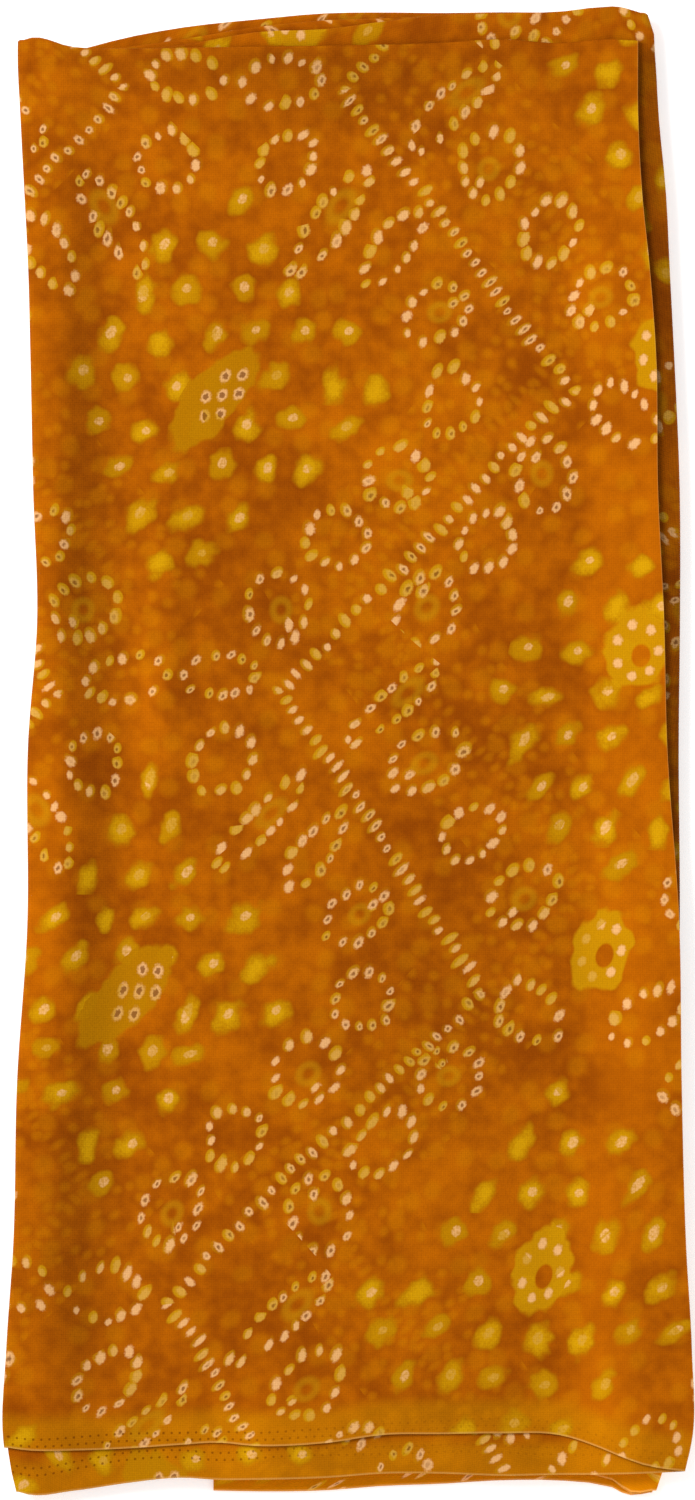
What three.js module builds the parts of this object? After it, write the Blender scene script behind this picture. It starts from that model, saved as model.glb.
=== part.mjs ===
// A length of printed georgette, lying flat. It is folded in half across its width, with the
// fold at the top and both selvedges at the bottom. That doubled strip is then folded back and
// forth into a stack of panels. Millimetres, +X to the right, +Y to the top fold, +Z up.
import * as THREE from "three";
import { mergeVertices } from "three/addons/utils/BufferGeometryUtils.js";

// The cloth, and the air between its layers.
const SHEET = 1.0;
const LEAF_AIR = 0.4;
const PANEL_AIR = 0.4;
const PANELS = 5;

// Leaf A is on top in the front panel and leaf B is under it.
const LEAF_MIDDLE = (SHEET + LEAF_AIR) / 2;
const OUTER_FACE = LEAF_MIDDLE + SHEET / 2;
const INNER_FACE = LEAF_MIDDLE - SHEET / 2;
const PITCH = 2 * OUTER_FACE + PANEL_AIR;
const TURN_RADIUS = PITCH / 2;
const STACK = (PANELS - 1) * PITCH + 2 * OUTER_FACE;

// Mesh lines: fixed places across the panels, shares of the way from hem to top fold,
// and steps round the folds.
const COLUMNS = [-108, -96, -84, -73, -62, -50, -30, -8, 14, 38, 62, 84, 101];
const CUT_END_CLEARANCE = 5;
const END_SHARES = [0, 0.008, 0.03];
const MIDDLE_ROWS = 9;
const MIDDLE_ROWS_FROM = 0.08;
const TOP_FOLD_STEPS = 4;
const SIDE_FOLD_STEPS = 4;
const MERGE_REACH = 1e-4;

// Place across that a panel's end has in the tables of top folds and hems.
const NOMINAL_EDGE = 125;

// Outline of the side folds and of the front panel's cut end, by height on the cloth.
// The left column is the front fold, the right one is the fold under the front panel.
const SIDES = [
  { y: 284, left: -125.0, right: 111.5, frontEnd: 110.6 },
  { y: 278, left: -125.2, right: 116.0, frontEnd: 110.6 },
  { y: 268, left: -125.6, right: 117.2, frontEnd: 110.6 },
  { y: 240, left: -124.5, right: 119.0, frontEnd: 110.7 },
  { y: 213, left: -123.1, right: 121.6, frontEnd: 112.1 },
  { y: 183, left: -121.6, right: 123.1, frontEnd: 115.1 },
  { y: 152, left: -120.8, right: 124.7, frontEnd: 117.4 },
  { y: 99, left: -119.7, right: 126.9, frontEnd: 118.2 },
  { y: 50, left: -118.2, right: 127.0, frontEnd: 120.5 },
  { y: 4, left: -121.6, right: 126.5, frontEnd: 121.6 },
  { y: -68, left: -122.0, right: 126.9, frontEnd: 126.4 },
  { y: -125, left: -125.8, right: 125.6, frontEnd: 127.2 },
  { y: -188, left: -127.3, right: 124.8, frontEnd: 128.9 },
  { y: -228, left: -130.0, right: 123.8, frontEnd: 131.1 },
  { y: -262, left: -131.1, right: 122.6, frontEnd: 131.1 },
  { y: -274, left: -129.4, right: 121.8, frontEnd: 128.4 },
  { y: -284, left: -127.0, right: 118.5, frontEnd: 126.0 },
];
const REAR_LEFT_INSET = 2.2;
const REAR_RIGHT_INSET = 1.2;
const CUT_END = -50.9;

// The top fold of each panel, front first, by place across the cloth.
const TOP_FOLDS = [
  { x: -129, p1: 269.4, p2: 269.4, p3: 265.5, p4: 265.5, p5: 265.5 },
  { x: -122, p1: 271.6, p2: 268.5, p3: 266.0, p4: 266.0, p5: 266.0 },
  { x: -104, p1: 268.1, p2: 266.0, p3: 266.5, p4: 267.2, p5: 266.2 },
  { x: -84, p1: 267.5, p2: 266.8, p3: 268.3, p4: 272.1, p5: 271.0 },
  { x: -62, p1: 267.7, p2: 269.0, p3: 271.3, p4: 275.9, p5: 275.0 },
  { x: -34, p1: 268.1, p2: 273.8, p3: 275.9, p4: 278.9, p5: 278.0 },
  { x: -8, p1: 268.5, p2: 274.9, p3: 278.4, p4: 281.2, p5: 280.4 },
  { x: 14, p1: 268.9, p2: 277.8, p3: 279.1, p4: 281.5, p5: 280.6 },
  { x: 36, p1: 269.6, p2: 280.3, p3: 280.0, p4: 281.3, p5: 280.6 },
  { x: 58, p1: 270.9, p2: 280.8, p3: 280.2, p4: 281.6, p5: 280.8 },
  { x: 82, p1: 269.4, p2: 281.6, p3: 281.0, p4: 281.8, p5: 281.2 },
  { x: 98, p1: 270.9, p2: 283.4, p3: 282.6, p4: 283.8, p5: 283.1 },
  { x: 110, p1: 270.6, p2: 283.2, p3: 282.7, p4: 283.4, p5: 282.9 },
  { x: 129, p1: 270.2, p2: 280.5, p3: 280.5, p4: 281.0, p5: 281.0 },
];

// The selvedges that show: both leaves of the front panel, and leaf A of the last one.
const HEMS = [
  { x: -129, frontA: -264.1, frontB: -280.4, last: -281.5 },
  { x: -122, frontA: -265.6, frontB: -282.7, last: -281.5 },
  { x: -104, frontA: -266.0, frontB: -281.4, last: -281.5 },
  { x: -84, frontA: -265.2, frontB: -278.5, last: -281.5 },
  { x: -62, frontA: -263.6, frontB: -276.3, last: -281.5 },
  { x: -50, frontA: -262.8, frontB: -277.0, last: -281.7 },
  { x: -34, frontA: -264.1, frontB: -277.0, last: -282.0 },
  { x: -8, frontA: -263.0, frontB: -276.3, last: -281.6 },
  { x: 14, frontA: -259.9, frontB: -274.7, last: -279.9 },
  { x: 36, frontA: -259.6, frontB: -274.7, last: -279.1 },
  { x: 58, frontA: -259.3, frontB: -275.5, last: -277.8 },
  { x: 82, frontA: -260.2, frontB: -275.1, last: -277.9 },
  { x: 98, frontA: -265.5, frontB: -275.0, last: -279.6 },
  { x: 110, frontA: -270.9, frontB: -274.7, last: -283.1 },
  { x: 129, frontA: -274.4, frontB: -273.6, last: -282.0 },
];
const HIDDEN_HEM_A = -271.5;
const HIDDEN_HEM_B = -273.0;
const LAST_LEAF_B_INSET = 0.8;

// How far across the second panel's hem takes to leave the front one's, and where the fourth
// panel's hem starts to join the last one's.
const FRONT_HEM_REACH = 40;
const LAST_HEM_START = 70;
const LAST_HEM_REACH = 50;

// Left of the last panel's cut end the other panels lie one panel lower.
const SAG_START = -53;
const SAG_END = -88;

// Soft folds of the top surface, each a bump or hollow about its middle.
const RELIEF = [
  { name: "rolled left fold", x: -113, y: 20, reachX: 12, reachY: 420, height: 0.9 },
  { name: "left trough", x: -96, y: -40, reachX: 17, reachY: 360, height: -1.5 },
  { name: "ridge by the trough", x: -75, y: 15, reachX: 11, reachY: 90, height: 0.9 },
  { name: "hollow under the top fold", x: 0, y: 244, reachX: 90, reachY: 20, height: -0.9 },
  { name: "lifted right end", x: 116, y: 60, reachX: 28, reachY: 420, height: 1.1 },
  { name: "raised hem, left", x: -38, y: -264, reachX: 24, reachY: 34, height: 1.2 },
  { name: "raised hem, right", x: 97, y: -262, reachX: 26, reachY: 44, height: 1.4 },
  { name: "slack middle", x: 30, y: -90, reachX: 60, reachY: 130, height: -0.6 },
];

// The dyed cloth's overall colour and its dull surface.
const COLOUR = 0xb26005;
const ROUGHNESS = 0.8;

const smooth = (share) => share * share * (3 - 2 * share);
const clamped = (share) => Math.min(1, Math.max(0, share));
const mix = (from, to, share) => from + (to - from) * share;

// One column of a table at a place between its rows.
function lookUp(table, key, column, at) {
  const rising = table[0][key] < table[table.length - 1][key];
  const rows = rising ? table : [...table].reverse();
  const next = rows.findIndex((row) => row[key] >= at);
  if (next === 0) return rows[0][column];
  if (next < 0) return rows[rows.length - 1][column];
  const low = rows[next - 1];
  const high = rows[next];
  return mix(low[column], high[column], (at - low[key]) / (high[key] - low[key]));
}

// Soft hill of height 1 that ends at its reach.
function hill(distance, reach) {
  const share = clamped(1 - Math.abs(distance) / reach);
  return smooth(share);
}

// How far the soft folds lift the top surface at one place.
function reliefAt(x, y) {
  const share = (fold) => hill(x - fold.x, fold.reachX) * hill(y - fold.y, fold.reachY);
  return RELIEF.reduce((sum, fold) => sum + fold.height * share(fold), 0);
}

// Middle lines of the side folds' turns, and the two cut ends, at a height on the cloth.
const turnInset = TURN_RADIUS + OUTER_FACE;
const leftTurn = (inset) => (y) => lookUp(SIDES, "y", "left", y) + turnInset + inset;
const rightTurn = (inset) => (y) => lookUp(SIDES, "y", "right", y) - turnInset - inset;
const sideLines = [
  { left: leftTurn(0), right: (y) => lookUp(SIDES, "y", "frontEnd", y) },
  { left: leftTurn(0), right: rightTurn(0) },
  { left: leftTurn(REAR_LEFT_INSET), right: rightTurn(0) },
  { left: leftTurn(REAR_LEFT_INSET), right: rightTurn(REAR_RIGHT_INSET) },
  { left: () => CUT_END, right: rightTurn(REAR_RIGHT_INSET) },
];
const panelHeight = (panel) => OUTER_FACE + (PANELS - 1 - panel) * PITCH;

// The hems of both leaves in a panel. Panels that share a side fold agree there.
function hemsAt(panel, x) {
  const front = { a: lookUp(HEMS, "x", "frontA", x), b: lookUp(HEMS, "x", "frontB", x) };
  const hidden = { a: HIDDEN_HEM_A, b: HIDDEN_HEM_B };
  const lastA = lookUp(HEMS, "x", "last", x);
  const last = { a: lastA, b: lastA + LAST_LEAF_B_INSET };
  const blend = (from, to, share) => ({ a: mix(from.a, to.a, share), b: mix(from.b, to.b, share) });
  if (panel === 0) return front;
  if (panel === 1) return blend(front, hidden, smooth(clamped((x + NOMINAL_EDGE) / FRONT_HEM_REACH)));
  if (panel === 2) return hidden;
  if (panel === 3) return blend(hidden, last, smooth(clamped((x - LAST_HEM_START) / LAST_HEM_REACH)));
  return last;
}

// The stations along the strip, from the front panel's cut end to the last panel's.
function stations() {
  const list = [];
  for (let panel = 0; panel < PANELS; panel += 1) {
    const leftward = panel % 2 === 0;
    const lines = sideLines[panel];
    const facing = leftward ? 1 : -1;
    const columns = COLUMNS.filter((x) => panel < PANELS - 1 || x > CUT_END + CUT_END_CLEARANCE);
    const across = [
      { nominal: panel === PANELS - 1 ? CUT_END : -NOMINAL_EDGE, place: lines.left },
      ...columns.map((x) => ({ nominal: x, place: () => x })),
      { nominal: NOMINAL_EDGE, place: lines.right },
    ];
    if (leftward) across.reverse();
    for (const { nominal, place } of across) {
      list.push({
        panel,
        nominal,
        point: (lift, y) => [place(y), y, panelHeight(panel) + facing * lift],
      });
    }
    if (panel === PANELS - 1) break;
    const outward = leftward ? -1 : 1;
    const turnLine = leftward ? lines.left : lines.right;
    for (let step = 1; step < SIDE_FOLD_STEPS; step += 1) {
      const angle = (Math.PI * step) / SIDE_FOLD_STEPS;
      list.push({
        panel,
        nominal: outward * NOMINAL_EDGE,
        point: (lift, y) => {
          const reach = TURN_RADIUS + facing * lift;
          return [
            turnLine(y) + outward * reach * Math.sin(angle),
            y,
            panelHeight(panel) - TURN_RADIUS + reach * Math.cos(angle),
          ];
        },
      });
    }
  }
  return list;
}

// The doubled strip's section at one station, as pairs of a lift off the strip's middle and a
// height on the cloth: up the outer face, over the top fold, down, and back along the inner face.
function sectionAt({ panel, nominal }) {
  const topFold = lookUp(TOP_FOLDS, "x", "p" + (panel + 1), nominal) - OUTER_FACE;
  const hems = hemsAt(panel, nominal);
  const shares = [...END_SHARES];
  for (let row = 0; row < MIDDLE_ROWS; row += 1) {
    shares.push(mix(MIDDLE_ROWS_FROM, 1 - MIDDLE_ROWS_FROM, row / (MIDDLE_ROWS - 1)));
  }
  shares.push(...END_SHARES.map((share) => 1 - share).reverse());
  const face = (radius) => {
    const up = shares.map((share) => [radius, mix(hems.a, topFold, share)]);
    const over = [];
    for (let step = 1; step < TOP_FOLD_STEPS; step += 1) {
      const angle = (Math.PI * step) / TOP_FOLD_STEPS;
      over.push([radius * Math.cos(angle), topFold + radius * Math.sin(angle)]);
    }
    const down = shares.map((share) => [-radius, mix(hems.b, topFold, share)]).reverse();
    return [...up, ...over, ...down];
  };
  return [...face(OUTER_FACE), ...face(INNER_FACE).reverse()];
}

// Where a point of the regular stack lies once the panels sag and the soft folds are in.
function settled(panel, [x, y, z]) {
  const share = clamped((SAG_START - x) / (SAG_START - SAG_END));
  const sag = panel === PANELS - 1 ? 0 : PITCH * smooth(share);
  const lowered = z - sag;
  return [x, y, lowered + (reliefAt(x, y) * lowered) / STACK];
}

// The closed sheet: its section swept along the stations, with a cap at each cut end.
function foldedCloth() {
  const along = stations();
  const rings = along.map((station) =>
    sectionAt(station).map(([lift, y]) => settled(station.panel, station.point(lift, y))),
  );
  const size = rings[0].length;
  const positions = rings.flat(2);
  const index = [];
  const quad = (a, b, c, d) => index.push(a, b, c, a, c, d);
  for (let ring = 0; ring + 1 < rings.length; ring += 1) {
    const near = ring * size;
    const far = near + size;
    for (let corner = 0; corner < size; corner += 1) {
      const next = (corner + 1) % size;
      quad(near + corner, near + next, far + next, far + corner);
    }
  }
  const lastRing = (rings.length - 1) * size;
  for (let corner = 0; corner + 1 < size / 2; corner += 1) {
    const mate = size - 1 - corner;
    quad(corner, mate, mate - 1, corner + 1);
    quad(lastRing + corner, lastRing + corner + 1, lastRing + mate - 1, lastRing + mate);
  }
  const geometry = new THREE.BufferGeometry();
  geometry.setAttribute("position", new THREE.Float32BufferAttribute(positions, 3));
  geometry.setIndex(index);
  return mergeVertices(geometry, MERGE_REACH);
}

// The origin is the middle of the box's bottom face.
function standOnOrigin(geometry) {
  geometry.computeBoundingBox();
  const middle = geometry.boundingBox.getCenter(new THREE.Vector3());
  geometry.translate(-middle.x, -middle.y, -geometry.boundingBox.min.z);
  geometry.computeVertexNormals();
  return geometry;
}

const georgette = new THREE.MeshStandardMaterial({ color: COLOUR, roughness: ROUGHNESS, metalness: 0 });

const foldedLength = new THREE.Mesh(standOnOrigin(foldedCloth()), georgette);
foldedLength.name = "folded_cloth";

const group = new THREE.Group();
group.add(foldedLength);

export default group;
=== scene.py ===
import logging
import math
from dataclasses import dataclass
from enum import Enum
from typing import Sequence

import bpy
import numpy as np
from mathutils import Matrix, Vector


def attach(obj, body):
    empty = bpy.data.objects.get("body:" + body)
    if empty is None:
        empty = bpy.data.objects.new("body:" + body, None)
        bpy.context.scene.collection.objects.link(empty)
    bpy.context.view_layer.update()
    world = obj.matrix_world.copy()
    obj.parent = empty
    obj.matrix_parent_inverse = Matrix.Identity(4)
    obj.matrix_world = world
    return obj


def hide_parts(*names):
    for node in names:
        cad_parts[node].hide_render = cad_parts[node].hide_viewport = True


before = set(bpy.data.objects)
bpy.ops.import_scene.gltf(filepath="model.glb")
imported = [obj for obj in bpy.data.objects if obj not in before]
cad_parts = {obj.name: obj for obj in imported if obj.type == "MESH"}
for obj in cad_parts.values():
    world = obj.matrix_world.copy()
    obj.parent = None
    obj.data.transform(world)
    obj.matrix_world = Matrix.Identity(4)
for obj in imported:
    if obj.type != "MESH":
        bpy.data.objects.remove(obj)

LOG = logging.getLogger("georgette")
MM = 0.001
NODE = "folded_cloth"

Socket = bpy.types.NodeSocket
Value = Socket | float | Sequence[float]
Array = np.ndarray
Pair = tuple[float, float]
Triple = tuple[float, float, float]
Colour = tuple[float, float, float, float]
Stops = list[tuple[float, tuple[float, ...]]]
Outputs = bpy.types.bpy_prop_collection


@dataclass(frozen=True)
class Table:
    """A short table with named columns, read as smooth curves.

    Args:
        columns: Column names. The first one is the key.
        rows: One tuple for each row, with the key rising or falling.
    """

    columns: tuple[str, ...]
    rows: tuple[tuple[float, ...], ...]

    def curve(self, column: str, at: Array | float) -> Array:
        """Reads one column between its rows.

        Args:
            column: The column's name.
            at: Places along the key column.

        Returns:
            The smooth curve's values there, constant past the ends.
        """
        rows = np.array(sorted(self.rows))
        keys = rows[:, 0]
        values = rows[:, self.columns.index(column)]
        slopes = np.gradient(values, keys)
        low = np.clip(np.searchsorted(keys, at) - 1, 0, len(keys) - 2)
        span = keys[low + 1] - keys[low]
        share = np.clip((at - keys[low]) / span, 0.0, 1.0)
        rise = values[low + 1] - values[low]
        start = slopes[low] * span
        end = slopes[low + 1] * span
        bend = share * (1 - share)
        return values[low] + share * rise + bend * ((1 - share) * (start - rise) - share * (end - rise))


# The stack's sizes, as in the part.
PANELS = 5
LEAF_MIDDLE = 0.7
OUTER_FACE = 1.2
PITCH = 2.8
TURN_RADIUS = PITCH / 2
STACK = (PANELS - 1) * PITCH + 2 * OUTER_FACE
TURN_INSET = TURN_RADIUS + OUTER_FACE
REAR_LEFT_INSET = 2.2
REAR_RIGHT_INSET = 1.2
CUT_END = -50.9
HIDDEN_HEM_A = -271.5
HIDDEN_HEM_B = -273.0
LAST_LEAF_B_INSET = 0.8
SAG = (-53.0, -88.0)

# Georgette is thinner than the part's sheet, so its layers lie a little lower.
SHEET = 0.4
SETTLE = OUTER_FACE - LEAF_MIDDLE - SHEET / 2
THREAD_PAIR = 0.84
FAR_OFF = 99.0

SIDES = Table(
    ("y", "left", "right", "front_end"),
    (
        (284, -125.0, 111.5, 110.6),
        (278, -125.2, 116.0, 110.6),
        (268, -125.6, 117.2, 110.6),
        (240, -124.5, 119.0, 110.7),
        (213, -123.1, 121.6, 112.1),
        (183, -121.6, 123.1, 115.1),
        (152, -120.8, 124.7, 117.4),
        (99, -119.7, 126.9, 118.2),
        (50, -118.2, 127.0, 120.5),
        (4, -121.6, 126.5, 121.6),
        (-68, -122.0, 126.9, 126.4),
        (-125, -125.8, 125.6, 127.2),
        (-188, -127.3, 124.8, 128.9),
        (-228, -130.0, 123.8, 131.1),
        (-262, -131.1, 122.6, 131.1),
        (-274, -129.4, 121.8, 128.4),
        (-284, -127.0, 118.5, 126.0),
    ),
)

TOP_FOLDS = Table(
    ("x", "p1", "p2", "p3", "p4", "p5"),
    (
        (-129, 269.4, 269.4, 265.5, 265.5, 265.5),
        (-122, 271.6, 268.5, 266.0, 266.0, 266.0),
        (-104, 268.1, 266.0, 266.5, 267.2, 266.2),
        (-84, 267.5, 266.8, 268.3, 272.1, 271.0),
        (-62, 267.7, 269.0, 271.3, 275.9, 275.0),
        (-34, 268.1, 273.8, 275.9, 278.9, 278.0),
        (-8, 268.5, 274.9, 278.4, 281.2, 280.4),
        (14, 268.9, 277.8, 279.1, 281.5, 280.6),
        (36, 269.6, 280.3, 280.0, 281.3, 280.6),
        (58, 270.9, 280.8, 280.2, 281.6, 280.8),
        (82, 269.4, 281.6, 281.0, 281.8, 281.2),
        (98, 270.9, 283.4, 282.6, 283.8, 283.1),
        (110, 270.6, 283.2, 282.7, 283.4, 282.9),
        (129, 270.2, 280.5, 280.5, 281.0, 281.0),
    ),
)

HEMS = Table(
    ("x", "front_a", "front_b", "last"),
    (
        (-129, -264.1, -280.4, -281.5),
        (-122, -265.6, -282.7, -281.5),
        (-104, -266.0, -281.4, -281.5),
        (-84, -265.2, -278.5, -281.5),
        (-62, -263.6, -276.3, -281.5),
        (-50, -262.8, -277.0, -281.7),
        (-34, -264.1, -277.0, -282.0),
        (-8, -263.0, -276.3, -281.6),
        (14, -259.9, -274.7, -279.9),
        (36, -259.6, -274.7, -279.1),
        (58, -259.3, -275.5, -277.8),
        (82, -260.2, -275.1, -277.9),
        (98, -265.5, -275.0, -279.6),
        (110, -270.9, -274.7, -283.1),
        (129, -274.4, -273.6, -282.0),
    ),
)


@dataclass(frozen=True)
class SoftFold:
    """A soft ridge or trough of the top surface.

    Args:
        x: Where its middle lies across the stack.
        y: Where it lies along the stack.
        reach_x: How far it reaches to either side.
        reach_y: How far it reaches up and down.
        height: How high it is, or how deep where it is below 0.
    """

    x: float
    y: float
    reach_x: float
    reach_y: float
    height: float


# The part's own relief, and then the smaller creases that only show up close.
RELIEF = {
    "rolled left fold": SoftFold(-113, 20, 12, 420, 0.9),
    "left trough": SoftFold(-96, -40, 17, 360, -1.5),
    "ridge by the trough": SoftFold(-75, 15, 11, 90, 0.9),
    "hollow under the top fold": SoftFold(0, 244, 90, 20, -0.9),
    "lifted right end": SoftFold(116, 60, 28, 420, 1.1),
    "raised hem, left": SoftFold(-38, -264, 24, 34, 1.2),
    "raised hem, right": SoftFold(97, -262, 26, 44, 1.4),
    "slack middle": SoftFold(30, -90, 60, 130, -0.6),
}
CREASES = {
    "pressed line in the left half": SoftFold(-70, 20, 3, 70, 0.25),
    "pressed line near the right end": SoftFold(95, -10, 4, 130, 0.3),
    "pressed line below the top": SoftFold(-2, 205, 3, 60, 0.2),
    "dip beside the hem's left rise": SoftFold(-78, -250, 14, 26, -0.5),
    "dip between the hem's rises": SoftFold(36, -255, 30, 24, -0.4),
    "soft cross wave, upper": SoftFold(20, 120, 95, 26, 0.35),
    "soft cross wave, lower": SoftFold(-10, -170, 90, 30, 0.35),
    "ridge inside the right end": SoftFold(97, -30, 14, 350, 0.75),
    "left trough, upper part": SoftFold(-104, 140, 18, 170, -1.3),
    "left trough, middle": SoftFold(-106, 50, 11, 60, -1.1),
    "left trough, lower part": SoftFold(-108, -190, 16, 120, -1.7),
    "pressed line right of the ridge": SoftFold(-62, 45, 9, 120, -0.8),
    "shallow hollow left of the middle": SoftFold(-30, 50, 42, 210, -0.45),
    "dip along the top fold": SoftFold(-15, 262, 125, 18, -1.3),
    "rise of the right end, upper": SoftFold(91, 172, 16, 70, 1.1),
    "rise of the right end, lower": SoftFold(94, -205, 22, 90, 1.0),
    "swell by the front cut end": SoftFold(110, -105, 12, 70, 0.9),
    "swell of the left fold": SoftFold(-121, -75, 9, 120, 0.7),
}


def smooth(share: Array | float) -> Array:
    """Eases a share, held between 0 and 1, at both ends."""
    held = np.clip(share, 0.0, 1.0)
    return held * held * (3 - 2 * held)


def fade(value: Array | float, start: float, end: float) -> Array:
    """Goes smoothly from 0 at start to 1 at end."""
    return smooth((value - start) / (end - start))


def mix(start: Array | float, end: Array | float, share: Array | float) -> Array:
    """Goes from start to end by a share of the way."""
    return start + (end - start) * share


def relief_at(x: Array, y: Array) -> Array:
    """Adds up the soft folds.

    Args:
        x: Places across the stack.
        y: Places along it.

    Returns:
        How far the top surface lies above its flat height.
    """
    height = np.zeros_like(x)
    for fold in (*RELIEF.values(), *CREASES.values()):
        over_x = smooth(1 - np.abs(x - fold.x) / fold.reach_x)
        over_y = smooth(1 - np.abs(y - fold.y) / fold.reach_y)
        height += fold.height * over_x * over_y
    return height


@dataclass(frozen=True)
class Waves:
    """Slow waves over the cloth, in steady random directions.

    Args:
        seed: Number that fixes them.
        strength: How high they are.
        shortest: Shortest wavelength.
        longest: Longest wavelength.
    """

    seed: int
    strength: float
    shortest: float
    longest: float

    COUNT = 9

    def at(self, along: Array, across: Array) -> Array:
        """Adds the waves up.

        Args:
            along: Places along the cloth.
            across: Places across it.

        Returns:
            Their height at each place, mostly within their strength to either side of 0.
        """
        chance = np.random.default_rng(self.seed)
        total = np.zeros_like(along)
        for _ in range(self.COUNT):
            angle, phase = chance.uniform(0, 2 * math.pi, 2)
            length = chance.uniform(self.shortest, self.longest)
            onward = along * math.cos(angle) + across * math.sin(angle)
            total += np.sin(onward * 2 * math.pi / length + phase)
        return self.strength * (total / math.sqrt(self.COUNT))


SWAY_ACROSS = Waves(11, 1.3, 38, 90)
SWAY_DOWN = Waves(12, 1.3, 38, 90)
LARGE_CLOUDS = Waves(21, 0.13, 45, 150)
SMALL_CLOUDS = Waves(22, 0.12, 22, 45)
PIP_CLOUDS = Waves(23, 1.4, 45, 110)


@dataclass(frozen=True)
class Print:
    """The tie-dye pattern's driving sizes.

    Args:
        band_half: Half the width of one band, whose neighbours mirror it.
        period: Height of one repeat.
        swing: Reach of the zigzag to each side.
        dot_pitch: Spacing of the zigzag's dots.
        first_apex: Height of the top left corner of the zigzag.
        leaf_fold: Height of the fold between the strip's two leaves.
        middle: The band's middle line: its place, slant and bow.
        stretched: The heights between which the print is pulled towards the selvedge.
        pull: How far it is pulled there, across and down.
        halo_pitch: Spacing of the halos in the open fields, across and down.
        halo_from: How far from the zigzag they start.
    """

    band_half: float = 90.2
    period: float = 228.0
    swing: float = 47.6
    dot_pitch: float = 4.95
    first_apex: float = 251.2
    leaf_fold: float = 270.5
    middle: Triple = (19.3, 0.157, -0.000195)
    stretched: Pair = (-150.0, -240.0)
    pull: Pair = (4.0, 6.5)
    halo_pitch: Pair = (18.5, 17.02)
    halo_from: float = 68.0

    @property
    def arm(self) -> float:
        """Length of one arm of the zigzag."""
        return math.hypot(2 * self.swing, self.period / 2)

    @property
    def run(self) -> float:
        """How far an arm goes across for each step along it."""
        return 2 * self.swing / self.arm

    @property
    def drop(self) -> float:
        """How far an arm goes down for each step along it."""
        return self.period / 2 / self.arm

    def at(self, cloth: Array) -> Array:
        """Finds places in the print, which sways a little and is stretched near the selvedge.

        Args:
            cloth: Places on the unfolded cloth.

        Returns:
            Places across and down from the print's middle line and first corner.
        """
        along, across = cloth[..., 0], cloth[..., 1]
        place, slant, bow = self.middle
        stretched = fade(across, *self.stretched)
        pull_across, pull_down = self.pull
        middle = place + slant * across + bow * across**2 + pull_across * stretched
        beside = along - middle + SWAY_ACROSS.at(along, across)
        down = self.first_apex - across - pull_down * stretched + SWAY_DOWN.at(along, across)
        return np.stack((beside, down), -1)


PRINT = Print()


@dataclass(frozen=True)
class Section:
    """The doubled strip's cross-section, as one closed ring of points.

    Args:
        fine: Rows on each face of leaf A, the one that shows.
        coarse: Rows on each face of leaf B.
        turns: Steps round the top fold.
    """

    fine: int
    coarse: int
    turns: int

    CROWDING = 0.35

    def rows(self, count: int) -> Array:
        """Spaces rows from hem to fold, closer together at both ends."""
        even = np.linspace(0, 1, count)
        return mix(even, (1 - np.cos(math.pi * even)) / 2, self.CROWDING)

    def there_and_back(self, face: Array) -> Array:
        """Joins the outer face's values to the inner face's, which run back along it."""
        return np.concatenate((face, face[::-1]))

    def shares(self) -> Array:
        """Spreads the points from their hems to the top fold.

        Returns:
            Each point's share of the way.
        """
        over = np.ones(self.turns - 1)
        face = np.concatenate((self.rows(self.fine), over, self.rows(self.coarse)[::-1]))
        return self.there_and_back(face)

    def angles(self) -> Array:
        """Turns the points round the top fold.

        Returns:
            Each point's angle, 0 on leaf A and pi on leaf B.
        """
        over = np.linspace(0, math.pi, self.turns + 1)[1:-1]
        face = np.concatenate((np.zeros(self.fine), over, np.full(self.coarse, math.pi)))
        return self.there_and_back(face)

    def radii(self) -> Array:
        """Gives each point's distance from the strip's middle."""
        count = self.fine + self.turns - 1 + self.coarse
        return np.repeat((LEAF_MIDDLE + SHEET / 2, LEAF_MIDDLE - SHEET / 2), count)

    def lifts(self) -> Array:
        """Gives each point's lift off the strip's middle, towards leaf A."""
        return self.radii() * np.cos(self.angles())


@dataclass(frozen=True)
class Ring:
    """One ring of the sheet's mesh, with its maps.

    Args:
        points: Places in the stack.
        cloth: Places on the unfolded cloth, along it and across it.
        edges: Distances from the selvedge, negative on leaf B, and from a cut end.
        shade: Painted shade behind the front panel's lifted end, and painted light on the lowest hem, as a
            seeming depth.
    """

    points: Array
    cloth: Array
    edges: Array
    shade: Array


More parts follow.
